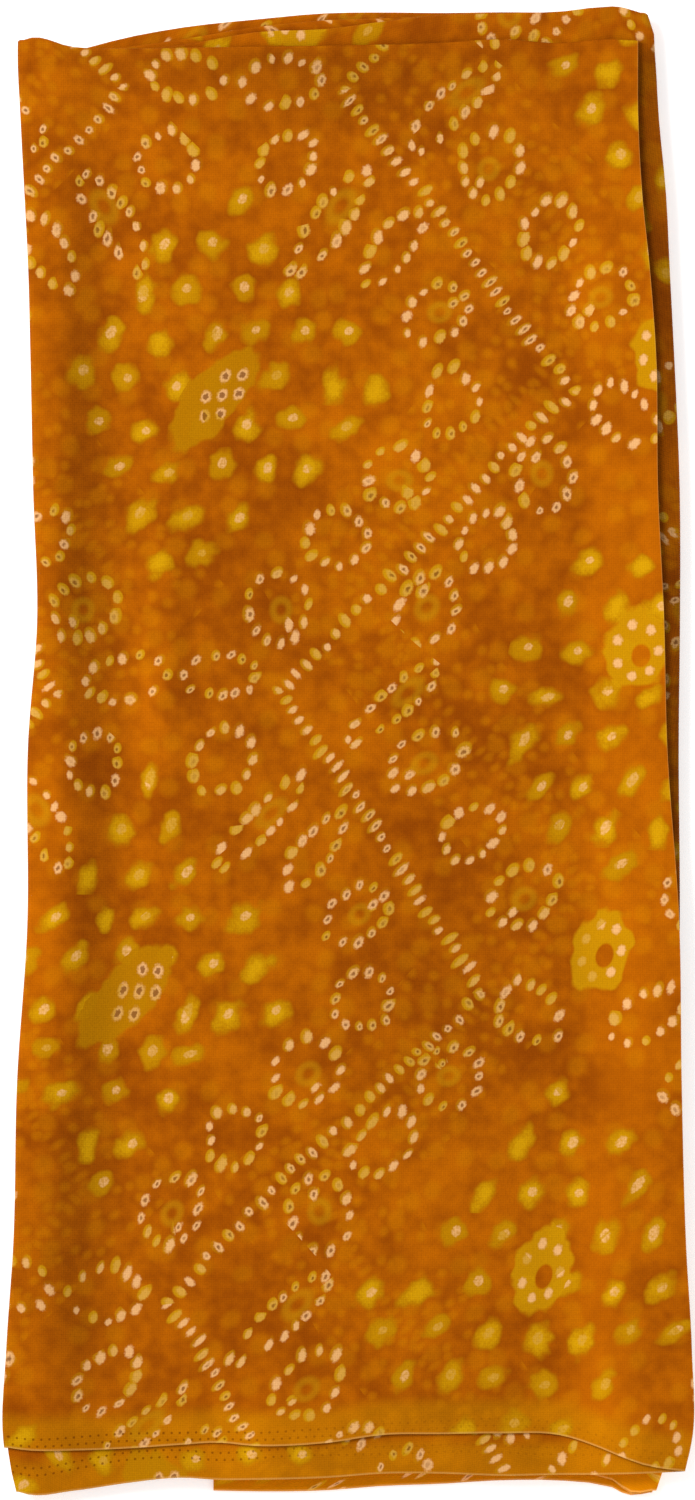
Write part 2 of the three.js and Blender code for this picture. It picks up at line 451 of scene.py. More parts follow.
@dataclass(frozen=True)
class FoldedStrip:
    """The doubled strip, folded back and forth into its stack of panels.

    Args:
        front_step: Spacing of the mesh's columns on the front panel.
        rear_step: Their spacing on the other panels.
        turn_steps: Steps round a side fold.
        section: The strip's cross-section.
    """

    front_step: float
    rear_step: float
    turn_steps: int
    section: Section

    # Places across and along the stack. A pair is where something starts and where it is full.
    INNER_LEFT = -108.0
    INNER_RIGHT = 101.0
    NOMINAL_EDGE = 125.0
    EDGE_ZONE = 20.0
    FAR = 100.0
    FRONT_TO_HIDDEN_HEM = (-125.0, -85.0)
    HIDDEN_TO_LAST_HEM = (70.0, 120.0)
    LOOSE_INSIDE = (119.0, 101.0)
    LOOSE_BELOW = (262.0, 238.0)
    RIPPLED_BELOW = (-250.0, -270.0)
    LAYER_WAVE = 0.16
    HEM_RIPPLE = 0.1
    # Painted shade behind the front panel's lifted end, and painted light on the lowest hem: where each
    # starts and is full, and how strong it is.
    DARK_BEHIND_END = (12.15, 3.15)
    DARK_RIGHT_OF = (90.0, 100.0)
    DARK_UNDER_TOP = (270.0, 264.0)
    DARK_ABOVE = (-215.0, -65.0)
    PAINTED_SHADE_DEPTH = 4.0
    PAINTED_LIGHT_BELOW = (-264.0, -272.0)
    PAINTED_HEM_LIGHT = 4.6
    SHARP_EDGE = math.radians(50)

    def side_line(self, panel: int, right: bool, y: Array) -> Array:
        """Finds a panel's end: the middle line of a side fold's turn, or a cut end.

        Args:
            panel: The panel, from 0 at the front.
            right: Whether the right end is asked for.
            y: Heights on the cloth.

        Returns:
            Where that end lies at each height.
        """
        if right and panel == 0:
            return SIDES.curve("front_end", y)
        if right:
            inset = REAR_RIGHT_INSET if panel >= PANELS - 2 else 0.0
            return SIDES.curve("right", y) - TURN_INSET - inset
        if panel == PANELS - 1:
            return np.full_like(y, CUT_END)
        inset = REAR_LEFT_INSET if panel >= 2 else 0.0
        return SIDES.curve("left", y) + TURN_INSET + inset

    def hems(self, panel: int, x: float) -> Pair:
        """Finds where both selvedges of a panel lie.

        Args:
            panel: The panel, from 0 at the front.
            x: The place across it.

        Returns:
            The heights of leaf A's selvedge and of leaf B's.
        """
        front = HEMS.curve("front_a", x), HEMS.curve("front_b", x)
        hidden = HIDDEN_HEM_A, HIDDEN_HEM_B
        last = HEMS.curve("last", x), HEMS.curve("last", x) + LAST_LEAF_B_INSET
        start, end, share = (
            (front, front, 0.0),
            (front, hidden, fade(x, *self.FRONT_TO_HIDDEN_HEM)),
            (hidden, hidden, 0.0),
            (hidden, last, fade(x, *self.HIDDEN_TO_LAST_HEM)),
            (last, last, 0.0),
        )[panel]
        return mix(start[0], end[0], share), mix(start[1], end[1], share)

    def columns(self, panel: int) -> list[tuple[float, float, bool]]:
        """Spaces the mesh's columns across a panel, in the strip's own direction.

        Args:
            panel: The panel, from 0 at the front.

        Returns:
            For each column its place, how far it is drawn towards the panel's end, from 0 to 1,
            and whether that is the right end.
        """
        step = self.front_step if panel == 0 else self.rear_step
        left = CUT_END + self.rear_step if panel == PANELS - 1 else self.INNER_LEFT
        inner = np.linspace(left, self.INNER_RIGHT, round((self.INNER_RIGHT - left) / step) + 1)
        pulls = np.linspace(1, 0, max(4, round(self.EDGE_ZONE / step)) + 1)[:-1]
        before = [(left, pull, False) for pull in pulls]
        after = [(self.INNER_RIGHT, pull, True) for pull in pulls[::-1]]
        columns = [*before, *((x, 0.0, True) for x in inner), *after]
        return columns[::-1] if panel % 2 == 0 else columns

    def measure(self, panel: int, nominal: float) -> tuple[Array, Array, Array]:
        """Measures along the section at one place.

        Args:
            panel: The panel, from 0 at the front.
            nominal: The place across it.

        Returns:
            Heights in the stack, places across the unfolded cloth, and selvedge distances.
        """
        hem_a, hem_b = self.hems(panel, nominal)
        top = float(TOP_FOLDS.curve(f"p{panel + 1}", nominal)) - OUTER_FACE
        angle = self.section.angles()
        on_b = angle > math.pi / 2
        hem = np.where(on_b, hem_b, hem_a)
        flat = mix(hem, top, self.section.shares())
        y = flat + self.section.radii() * np.sin(angle)
        unfolded = top + LEAF_MIDDLE * angle + np.where(on_b, top - flat, flat - top)
        return y, unfolded, np.where(on_b, hem - flat, flat - hem)

    def wobble(self, panel: int, x: Array, y: Array) -> Array:
        """Lets the layers lie a little unevenly, still apart, each with its waves shifted.

        Args:
            panel: The panel, from 0 at the front.
            x: Places across.
            y: Places along.

        Returns:
            A small change of height for each point.
        """
        layer = 2 * panel + np.where(self.section.lifts() > 0, 0, 1)
        loose = fade(np.abs(x), *self.LOOSE_INSIDE) * fade(y, *self.LOOSE_BELOW)
        wave = np.sin(x / 17 + 1.7 * layer) * np.sin(y / 23 + 2.3 * layer)
        ripple = np.sin(x / 7 + 2.9 * layer) * fade(y, *self.RIPPLED_BELOW)
        return loose * (self.LAYER_WAVE * wave + self.HEM_RIPPLE * ripple)

    def settled(self, panel: int, x: Array, y: Array, z: Array) -> Array:
        """Lowers what hangs past the last panel's cut end, and adds the soft folds.

        Args:
            panel: The panel, from 0 at the front.
            x: Places across.
            y: Places along.
            z: Heights in a flat stack.

        Returns:
            The points as they settle.
        """
        sag = 0.0 if panel == PANELS - 1 else PITCH * fade(x, *SAG)
        lowered = z - sag
        return np.stack((x, y, lowered + relief_at(x, y) * lowered / STACK - SETTLE), axis=1)

    def shade(self, panel: int, x: Array, y: Array) -> Array:
        """Paints the shadow that the front panel's lifted end casts behind it, and paints light on the
        lowest hem against the stack's shadow.

        Args:
            panel: The panel, from 0 at the front.
            x: Places across.
            y: Places along.

        Returns:
            The painted shade as a seeming depth in millimetres, negative where light is painted.
        """
        if panel == 0:
            return np.zeros_like(x)
        # Painted shadow of the lifted end on the panels behind it, less the painted light on the lowest
        # hem.
        behind = fade(x - SIDES.curve("front_end", y), *self.DARK_BEHIND_END) * fade(x, *self.DARK_RIGHT_OF)
        dark = behind * fade(y, *self.DARK_UNDER_TOP) * fade(y, *self.DARK_ABOVE)
        return self.PAINTED_SHADE_DEPTH * dark - self.PAINTED_HEM_LIGHT * fade(y, *self.PAINTED_LIGHT_BELOW)

    def panel_rings(self, panel: int, start: Array | None) -> list[Ring]:
        """Sweeps the section across one panel.

        Args:
            panel: The panel, from 0 at the front.
            start: How far along the cloth the panel starts, or None on the front panel.

        Returns:
            The panel's rings.
        """
        leftward = panel % 2 == 0
        middle = OUTER_FACE + (PANELS - 1 - panel) * PITCH
        rings = []
        for place, pull, to_right in self.columns(panel):
            end = self.NOMINAL_EDGE if to_right else -self.NOMINAL_EDGE
            if panel == PANELS - 1 and not to_right:
                end = CUT_END
            y, unfolded, selvedge = self.measure(panel, mix(place, end, pull))
            x = mix(np.full_like(y, place), self.side_line(panel, to_right, y), pull)
            first = self.side_line(panel, leftward, y)
            along = (first if start is None else start) - np.abs(x - first)
            lift = self.section.lifts() * (1 if leftward else -1)
            points = self.settled(panel, x, y, middle + lift + self.wobble(panel, x, y))
            cut = {0: first - x, PANELS - 1: x - CUT_END}.get(panel, np.full_like(x, self.FAR))
            maps = np.stack((along, unfolded), 1), np.stack((selvedge, cut), 1)
            rings.append(Ring(points, *maps, self.shade(panel, x, y)))
        return rings

    def fold_rings(self, panel: int, start: Array) -> list[Ring]:
        """Sweeps the section round the side fold after a panel.

        Args:
            panel: The panel that the fold follows.
            start: How far along the cloth the fold starts.

        Returns:
            The fold's rings.
        """
        leftward = panel % 2 == 0
        outward = -1 if leftward else 1
        middle = OUTER_FACE + (PANELS - 1 - panel) * PITCH - TURN_RADIUS
        y, unfolded, selvedge = self.measure(panel, outward * self.NOMINAL_EDGE)
        line = self.side_line(panel, not leftward, y)
        reach = TURN_RADIUS + self.section.lifts() * (1 if leftward else -1)
        rings = []
        for angle in np.linspace(0, math.pi, self.turn_steps + 1)[1:-1]:
            x = line + outward * reach * math.sin(angle)
            points = self.settled(panel, x, y, middle + reach * math.cos(angle))
            cloth = np.stack((start - TURN_RADIUS * angle, unfolded), 1)
            edges = np.stack((selvedge, np.full_like(x, self.FAR)), 1)
            rings.append(Ring(points, cloth, edges, self.shade(panel, x, y)))
        return rings

    def rings(self) -> list[Ring]:
        """Sweeps the section along the whole strip.

        Returns:
            All rings, from the front cut end to the last one.
        """
        rings = self.panel_rings(0, None)
        for panel in range(1, PANELS):
            rings += self.fold_rings(panel - 1, rings[-1].cloth[:, 0])
            rings += self.panel_rings(panel, rings[-1].cloth[:, 0])
        return rings

    def faces(self, count: int, size: int) -> Array:
        """Joins the rings by four-sided faces and closes both cut ends.

        Args:
            count: How many rings there are.
            size: Points in each ring.

        Returns:
            Each face's four corners.
        """
        corner = np.arange(count * size).reshape(count, size)
        turned = np.roll(corner, -1, axis=1)
        walls = np.stack((corner[:-1], turned[:-1], turned[1:], corner[1:]), axis=-1).reshape(-1, 4)
        half = slice(0, size // 2 - 1)
        near, far = (
            np.stack((ring[half], ring[::-1][half], ring[::-1][1:][half], ring[1:][half]), axis=-1)
            for ring in (corner[0], corner[-1])
        )
        return np.concatenate((walls, near, far[:, ::-1]))

    def add_maps(self, made: bpy.types.Mesh, rings: list[Ring], faces: Array) -> None:
        """Adds the maps that the finish reads.

        Args:
            made: The mesh.
            rings: The rings that it was made from.
            faces: Each face's four corners.
        """
        cloth = np.array([ring.cloth for ring in rings])
        below = np.stack((cloth[..., 0], 2 * PRINT.leaf_fold - cloth[..., 1]), -1)
        for map_name, values in (
            ("Cloth", cloth),
            ("Edges", np.array([ring.edges for ring in rings])),
            ("Print", PRINT.at(cloth)),
            ("Below", PRINT.at(below)),
        ):
            layer = made.uv_layers.new(name=map_name)
            spread = values.reshape(-1, 2)[faces.reshape(-1)] * MM
            layer.data.foreach_set("uv", spread.astype(np.float32).reshape(-1))
        along, across = cloth.reshape(-1, 2).T
        tone = 0.5 + LARGE_CLOUDS.at(along, across) + SMALL_CLOUDS.at(along, across)
        pips = smooth(0.2 + PIP_CLOUDS.at(along, across))
        x, y, _ = np.concatenate([ring.points for ring in rings]).T
        shade = np.concatenate([ring.shade for ring in rings])
        # The second value is the height less the painted shade; the material turns it into painted shade
        # and light.
        state = np.stack((tone, relief_at(x, y) - shade, pips), -1)
        attribute = made.attributes.new("state", "FLOAT_VECTOR", "POINT")
        attribute.data.foreach_set("vector", state.astype(np.float32).reshape(-1))

    def mesh(self, name: str) -> tuple[bpy.types.Mesh, Vector]:
        """Builds the sheet's closed mesh with its maps.

        Args:
            name: The mesh's name.

        Returns:
            The mesh, in metres and centred on the frame's origin, and the middle it had before.
        """
        rings = self.rings()
        points = np.array([ring.points for ring in rings])
        faces = self.faces(*points.shape[:2])
        flat = points.reshape(-1, 3)
        middle = (flat.min(axis=0) + flat.max(axis=0)) / 2
        middle[2] = flat[:, 2].min()
        made = bpy.data.meshes.new(name)
        made.from_pydata(((flat - middle) * MM).tolist(), [], faces.tolist())
        self.add_maps(made, rings, faces)
        made.polygons.foreach_set("use_smooth", np.ones(len(faces), dtype=bool))
        made.set_sharp_from_angle(angle=self.SHARP_EDGE)
        made.validate()
        return made, Vector(middle)


class Graph:
    """Adds the nodes of one node tree and links them."""

    MIX_SOCKETS = {"FLOAT": (2, 3, 0), "VECTOR": (4, 5, 1), "RGBA": (6, 7, 2)}

    def __init__(self, tree: bpy.types.NodeTree) -> None:
        """Keeps the tree that the nodes go in."""
        self.tree = tree

    def add(self, kind: str, inputs: dict[str | int, Value], **settings: object) -> bpy.types.Node:
        """Adds one node.

        Args:
            kind: The node's type.
            inputs: Values or sockets for its inputs, by name or number.
            **settings: Its own settings.

        Returns:
            The node.
        """
        node = self.tree.nodes.new(kind)
        for setting, value in settings.items():
            setattr(node, setting, value)
        for key, value in inputs.items():
            if isinstance(value, bpy.types.NodeSocket):
                self.tree.links.new(value, node.inputs[key])
            else:
                node.inputs[key].default_value = value
        return node

    def math(self, operation: str, *values: Value) -> Socket:
        """Works out one number."""
        return self.add("ShaderNodeMath", dict(enumerate(values)), operation=operation).outputs[0]

    def plus(self, first: Value, second: Value) -> Socket:
        """Adds two numbers."""
        return self.math("ADD", first, second)

    def minus(self, first: Value, second: Value) -> Socket:
        """Takes the second number from the first."""
        return self.math("SUBTRACT", first, second)

    def times(self, first: Value, second: Value) -> Socket:
        """Multiplies two numbers."""
        return self.math("MULTIPLY", first, second)

    def over(self, first: Value, second: Value) -> Socket:
        """Divides the first number by the second."""
        return self.math("DIVIDE", first, second)

    def line(self, value: Value, slope: Value, start: Value) -> Socket:
        """Multiplies a number by a slope and adds a start."""
        return self.math("MULTIPLY_ADD", value, slope, start)

    def between(self, chance: Value, least: float, most: float) -> Socket:
        """Goes evenly from least to most as a chance goes from 0 to 1."""
        return self.line(chance, most - least, least)

    def least(self, first: Value, second: Value) -> Socket:
        """Takes the smaller number."""
        return self.math("MINIMUM", first, second)

    def most(self, first: Value, second: Value) -> Socket:
        """Takes the larger number."""
        return self.math("MAXIMUM", first, second)

    def below(self, value: Value, limit: Value) -> Socket:
        """Gives 1 where a number is below a limit, and else 0."""
        return self.math("LESS_THAN", value, limit)

    def above(self, value: Value, limit: Value) -> Socket:
        """Gives 1 where a number is above a limit, and else 0."""
        return self.math("GREATER_THAN", value, limit)

    def unsigned(self, value: Value) -> Socket:
        """Drops a number's sign."""
        return self.math("ABSOLUTE", value)

    def wrapped(self, value: Value, reach: float) -> Socket:
        """Wraps a number round, so that it stays within a reach to either side of 0."""
        return self.math("WRAP", value, reach, -reach)

    def another(self, chance: Value, factor: float) -> Socket:
        """Draws a second chance out of the digits of the first."""
        return self.math("FRACT", self.times(chance, factor))

    def vector(self, operation: str, *values: Value) -> Socket:
        """Works out one vector, or one number for a length."""
        node = self.add("ShaderNodeVectorMath", dict(enumerate(values)), operation=operation)
        return node.outputs["Value" if operation == "LENGTH" else "Vector"]

    def length(self, vector: Value) -> Socket:
        """Measures a vector."""
        return self.vector("LENGTH", vector)

    def oval(self, place: Value, half_sizes: Value) -> Socket:
        """Measures how far out a place is, 1 on the outline of an oval."""
        return self.length(self.vector("DIVIDE", place, half_sizes))

    def scaled(self, vector: Value, scale: Value) -> Socket:
        """Makes a vector longer or shorter."""
        node = self.add("ShaderNodeVectorMath", {0: vector, "Scale": scale}, operation="SCALE")
        return node.outputs["Vector"]

    def combined(self, x: Value, y: Value, z: Value = 0.0) -> Socket:
        """Joins three numbers."""
        return self.add("ShaderNodeCombineXYZ", {0: x, 1: y, 2: z}).outputs[0]

    def parts(self, vector: Value) -> tuple[Socket, Socket, Socket]:
        """Splits a vector."""
        outputs = self.add("ShaderNodeSeparateXYZ", {0: vector}).outputs
        return outputs[0], outputs[1], outputs[2]

    def turned(self, vector: Value, angle: Value) -> Socket:
        """Turns a vector about Z."""
        inputs = {"Vector": vector, "Angle": angle}
        return self.add("ShaderNodeVectorRotate", inputs, rotation_type="Z_AXIS").outputs[0]

    def fade(self, value: Value, start: Value, end: Value) -> Socket:
        """Goes smoothly from 0 at start to 1 at end."""
        inputs = {"Value": value, "From Min": start, "From Max": end}
        return self.add("ShaderNodeMapRange", inputs, interpolation_type="SMOOTHSTEP").outputs[0]

    def blend(self, kind: str, factor: Value, first: Value, second: Value) -> Socket:
        """Mixes two values of one kind, FLOAT, VECTOR or RGBA."""
        a, b, mixed = self.MIX_SOCKETS[kind]
        return self.add("ShaderNodeMix", {0: factor, a: first, b: second}, data_type=kind).outputs[mixed]

    def tinted(self, factor: Value, strength: float, colour: Value, over: Value) -> Socket:
        """Lays a colour over another, as far as a mask and a strength say."""
        return self.blend("RGBA", self.times(factor, strength), colour, over)

    def noise(self, vector: Value, size: float) -> Socket:
        """Gives soft noise about 0, with features of a size in millimetres."""
        inputs = {"Vector": vector, "Scale": 1 / size, "Detail": 1.0}
        return self.minus(self.add("ShaderNodeTexNoise", inputs, noise_dimensions="2D").outputs[0], 0.5)

    def cells(self, vector: Value, size: float) -> Socket:
        """Gives the distance from the nearest of many scattered points, in units of a size."""
        inputs = {"Vector": vector, "Scale": 1 / size}
        return self.add("ShaderNodeTexVoronoi", inputs, voronoi_dimensions="2D").outputs["Distance"]

    def random(self, vector: Value) -> tuple[Socket, Socket, Socket]:
        """Gives three steady random numbers for each whole-number vector."""
        node = self.add("ShaderNodeTexWhiteNoise", {"Vector": vector}, noise_dimensions="3D")
        return self.parts(node.outputs["Color"])

    def mapped(self, name: str) -> Socket:
        """Reads one of the mesh's maps, in millimetres."""
        return self.scaled(self.add("ShaderNodeUVMap", {}, uv_map=name).outputs[0], 1 / MM)

    def lookup(self, key: Socket, rows: Stops) -> tuple[Socket, Socket]:
        """Reads a short table of four columns.

        Args:
            key: The place in the table, from 0 to 1.
            rows: Where each row starts, and its four values from 0 to 1.

        Returns:
            The first three columns as one value, and the fourth.
        """
        node = self.add("ShaderNodeValToRGB", {"Fac": key})
        ramp = node.color_ramp
        ramp.interpolation = "CONSTANT"
        ramp.elements.remove(ramp.elements[1])
        for number, (start, values) in enumerate(rows):
            element = ramp.elements.new(start) if number else ramp.elements[0]
            element.position = start
            element.color = values
        return node.outputs["Color"], node.outputs["Alpha"]


class Effect(Graph):
    """A node group that puts out values for more than one material or use."""

    SOCKETS = {"float": "NodeSocketFloat", "vector": "NodeSocketVector"}

    def __init__(self, name: str, inputs: dict[str, str], outputs: Sequence[str]) -> None:
        """Makes the group and its sockets.

        Args:
            name: The group's name.
            inputs: Kind of each input, by name.
            outputs: Names of its outputs, all numbers.
        """
        super().__init__(bpy.data.node_groups.new(name, "ShaderNodeTree"))
        for in_out, sockets in (("INPUT", inputs), ("OUTPUT", dict.fromkeys(outputs, "float"))):
            for label, kind in sockets.items():
                self.tree.interface.new_socket(label, in_out=in_out, socket_type=self.SOCKETS[kind])
        self.given = self.tree.nodes.new("NodeGroupInput").outputs
        self.result = self.tree.nodes.new("NodeGroupOutput").inputs

    def put(self, **values: Socket) -> None:
        """Links the group's outputs."""
        for name, value in values.items():
            self.tree.links.new(value, self.result[name])

    def use(self, graph: Graph, **inputs: Value) -> Outputs:
        """Adds the group to a graph and returns its outputs."""
        return graph.add("ShaderNodeGroup", inputs, node_tree=self.tree).outputs


def srgb(red: int, green: int, blue: int) -> Colour:
    """Turns a screen colour from 0 to 255 into a linear one."""
    linear = [((c / 255 + 0.055) / 1.055) ** 2.4 if c > 10 else c / 255 / 12.92 for c in (red, green, blue)]
    return (*linear, 1.0)


@dataclass(frozen=True)
class Outline:
    """A small outline drawn with tied dots.

    Args:
        half_width: Half its width.
        half_height: Half its height.
        dots: How many dots go round it.
        tip: How far its point sticks out, as a share of its half height.
    """

    half_width: float
    half_height: float
    dots: float
    tip: float


class Motif(Enum):
    """The print's small outlines."""

    FLOWER = Outline(10.7, 12.2, 12, 0.16)
    LEAF = Outline(5.8, 20.5, 15, 0.12)
    LOOP = Outline(10.2, 11.2, 12, 0.10)
    PETAL = Outline(7.0, 14.5, 12, 0.16)
    DROP = Outline(8.4, 12.0, 12, 0.42)


@dataclass(frozen=True)
class Place:
    """A motif's place beside the dotted zigzag.

    Args:
        motif: The motif.
        across: Where its middle lies across the band.
        down: Where it lies down the repeat.
        lean: How many degrees it leans to the right.
    """

    motif: Motif
    across: float
    down: float
    lean: float


PLACES = (
    Place(Motif.LEAF, -3.4, 4.8, 44),
    Place(Motif.FLOWER, 10.3, 29, 215),
    Place(Motif.LOOP, 34, 54.7, 200),
    Place(Motif.FLOWER, 56.5, 79.5, 215),
    Place(Motif.DROP, 66.5, 121.5, -52),
    Place(Motif.FLOWER, 42, 146.3, -30),
    Place(Motif.LOOP, 22.4, 171.5, 20),
    Place(Motif.FLOWER, 3, 197, -25),
    Place(Motif.LOOP, -66, 27, 25),
    Place(Motif.LEAF, -48.7, 49.5, 36),
    Place(Motif.PETAL, -25, 60, 30),
    Place(Motif.FLOWER, -4.5, 85, 50),
    Place(Motif.LOOP, 4, 119.3, 150),
    Place(Motif.FLOWER, -13.5, 147.2, 145),
    Place(Motif.LOOP, -35, 170.5, -40),
    Place(Motif.FLOWER, -53, 197.5, 140),
    Place(Motif.DROP, -69.8, -4.5, 90),
)


class Chart:
    """Says which motif covers a spot, from its place along the zigzag and its side of it."""

    # Every value goes into its table as a share of a span, so that it lies between 0 and 1. The
    # tables are read from just within their ends.
    REACH_BACK = 60.0
    REACH = 270.0
    WITHIN = (0.001, 0.995)
    PLACE_SPAN = 400.0
    LEAN_SPAN = 720.0
    SIZE_SPAN = 50.0

    def stops(self, right: bool) -> Stops:
        """Lists where each motif's stretch starts on one side of the zigzag.

        Args:
            right: Whether the right side is asked for.

        Returns:
            Start and packed motif for each stretch, both arms one after the other.
        """
        stops = []
        for arm in (0, 1):
            found = sorted(self.beside(arm, right), key=lambda row: row[0])
            start = 0.0
            for (along, reach, place), following in zip(found, [*found[1:], None]):
                stops.append(((arm + start) / 2, self.packed(place)))
                if following:
                    share = reach / (reach + following[1])
                    start = (float(mix(along, following[0], share)) + self.REACH_BACK) / self.REACH
        return stops

    def beside(self, arm: int, right: bool) -> list[tuple[float, float, Place]]:
        """Finds the motifs beside one arm of the zigzag.

        Args:
            arm: The arm, 0 going down to the right or 1 going down to the left.
            right: Whether the right side is asked for.

        Returns:
            For each motif its place along the arm, its reach along it, and the motif.
        """
        found = []
        for place in PLACES:
            shape = place.motif.value
            turn = math.radians(place.lean)
            slope = -PRINT.drop if arm else PRINT.drop
            wide = shape.half_width * (math.cos(turn) * PRINT.run + math.sin(turn) * slope)
            tall = shape.half_height * (math.cos(turn) * slope - math.sin(turn) * PRINT.run)
            for shift in (-PRINT.period, 0.0, PRINT.period):
                below = place.down + shift
                fallen = PRINT.period - below if arm else below
                if not -shape.half_height < fallen < PRINT.period / 2 + shape.half_height:
                    continue
                held = min(max(fallen, 0.0), PRINT.period / 2)
                inner = place.across + PRINT.swing
                if (inner * PRINT.drop > held * PRINT.run) == right:
                    along = inner * PRINT.run + fallen * PRINT.drop
                    found.append((along, math.hypot(wide, tall), place))
        return found

    def packed(self, place: Place) -> tuple[float, ...]:
        """Packs a motif into values from 0 to 1.

        Args:
            place: The motif and where it sits.

        Returns:
            Its place across and down, its lean and its kind.
        """
        kind = (list(Motif).index(place.motif) + 0.5) / len(Motif)
        across, down = (value / self.PLACE_SPAN + 0.5 for value in (place.across, place.down))
        return across, down, place.lean / self.LEAN_SPAN + 0.5, kind

    def kinds(self) -> Stops:
        """Lists the motifs' sizes, packed, in the order of their numbers.

        Returns:
            Start and packed sizes for each kind.
        """
        rows = []
        for number, motif in enumerate(Motif):
            shape = motif.value
            sizes = (size / self.SIZE_SPAN for size in (shape.half_width, shape.half_height, shape.dots))
            rows.append((number / len(Motif), (*sizes, shape.tip)))
        return rows


def band_effect() -> Effect:
    """Makes the group that finds a place within the print's repeating band.

    Returns:
        The group. Across and Down are the place in the band, Band and Arm its numbers, and Along
        and Aside the place along the zigzag's arm and beside it.
    """
    outputs = ("Across", "Down", "Band", "Arm", "Along", "Aside")
    group = Effect("Band place", {"Position": "vector"}, outputs)
    x, down, _ = group.parts(group.given["Position"])
    across = group.plus(x, PRINT.band_half)
    width = 2 * PRINT.band_half
    half = PRINT.period / 2
    folded = group.minus(group.math("PINGPONG", across, width), PRINT.band_half)
    fallen = group.math("PINGPONG", down, half)
    inner = group.plus(folded, PRINT.swing)
    group.put(
        Across=folded,
        Down=down,
        Band=group.math("FLOOR", group.over(across, width)),
        Arm=group.math("FLOOR", group.over(down, half)),
        Along=group.line(fallen, PRINT.drop, group.times(inner, PRINT.run)),
        Aside=group.line(fallen, -PRINT.run, group.times(inner, PRINT.drop)),
    )
    return group


@dataclass(frozen=True)
class Dot:
    """A tied point near the spot being shaded.

    Args:
        reach: Place from its centre, in its own sizes.
        tint: Its random tint.
    """

    reach: Socket
    tint: Socket


@dataclass(frozen=True)
class LineDots:
    """How the zigzag's dots lie, each longer across its line.

    Args:
        slip: How far a dot slips along its line, to either side.
        stray: How far it strays off its line, to either side.
        half_width: Half its width along the line.
        half_lengths: Half its length across the line, from least to most.
    """

    slip: float = 0.6
    stray: float = 1.0
    half_width: float = 1.3
    half_lengths: Pair = (1.6, 2.8)

    def nearest(self, group: Graph, here: Outputs) -> Dot:
        """Finds the nearest dot of the zigzag.

        Args:
            group: The graph that gets the nodes.
            here: The spot's place in the band.

        Returns:
            The dot.
        """
        step = group.math("ROUND", group.over(here["Along"], PRINT.dot_pitch))
        tint, shift, length = group.random(group.combined(step, here["Arm"], here["Band"]))
        gap = group.minus(group.line(step, -PRINT.dot_pitch, here["Along"]), self.slip)
        gap = group.line(tint, 2 * self.slip, gap)
        aside = group.line(shift, 2 * self.stray, group.minus(here["Aside"], self.stray))
        half_length = group.between(length, *self.half_lengths)
        return Dot(group.combined(group.over(gap, self.half_width), group.over(aside, half_length)), tint)


@dataclass(frozen=True)
class Spot:
    """The spot being shaded, as it lies in the motif that covers it.

    Args:
        kind: The motif's place among the kinds, from 0 to 1.
        half_sizes: Half the motif's width and height.
        dots: How many dots go round it.
        tip: How pointed it is.
        lean: Its lean in radians.
        seed: Two numbers that tell it from the other motifs.
        upright: The spot's place from the motif's middle, with the motif upright.
    """

    kind: Socket
    half_sizes: tuple[Socket, Socket]
    dots: Socket
    tip: Socket
    lean: Socket
    seed: tuple[Socket, Socket]
    upright: Socket


def motif_spot(group: Graph, here: Outputs) -> Spot:
    """Finds the motif that covers the spot.

    Args:
        group: The graph that gets the nodes.
        here: The spot's place in the band.

    Returns:
        The spot within its motif.
    """
    chart = Chart()
    lowest, highest = chart.WITHIN
    along = group.over(group.plus(here["Along"], chart.REACH_BACK), chart.REACH)
    along = group.least(group.most(along, lowest), highest)
    odd = group.math("WRAP", here["Arm"], 2.0, 0.0)
    key = group.times(group.plus(along, odd), 0.5)
    left, left_kind = group.lookup(key, chart.stops(False))
    right, right_kind = group.lookup(key, chart.stops(True))
    on_right = group.above(here["Aside"], 0.0)
    kind = group.blend("FLOAT", on_right, left_kind, right_kind)
    packed = group.parts(group.blend("VECTOR", on_right, left, right))
    spans = chart.PLACE_SPAN, chart.PLACE_SPAN, math.radians(chart.LEAN_SPAN)
    across, down, lean = (group.line(share, span, -span / 2) for share, span in zip(packed, spans))
    sizes, tip = group.lookup(kind, chart.kinds())
    half_width, half_height, dots = group.parts(group.scaled(sizes, chart.SIZE_SPAN))
    below = group.minus(here["Down"], down)
    repeat = group.math("ROUND", group.over(below, PRINT.period))
    below = group.line(repeat, -PRINT.period, below)
    beside = group.minus(here["Across"], across)
    upright = group.turned(group.combined(beside, below), group.times(lean, -1.0))
    seed = across, group.plus(repeat, down)
    return Spot(kind, (half_width, half_height), dots, tip, lean, seed, upright)


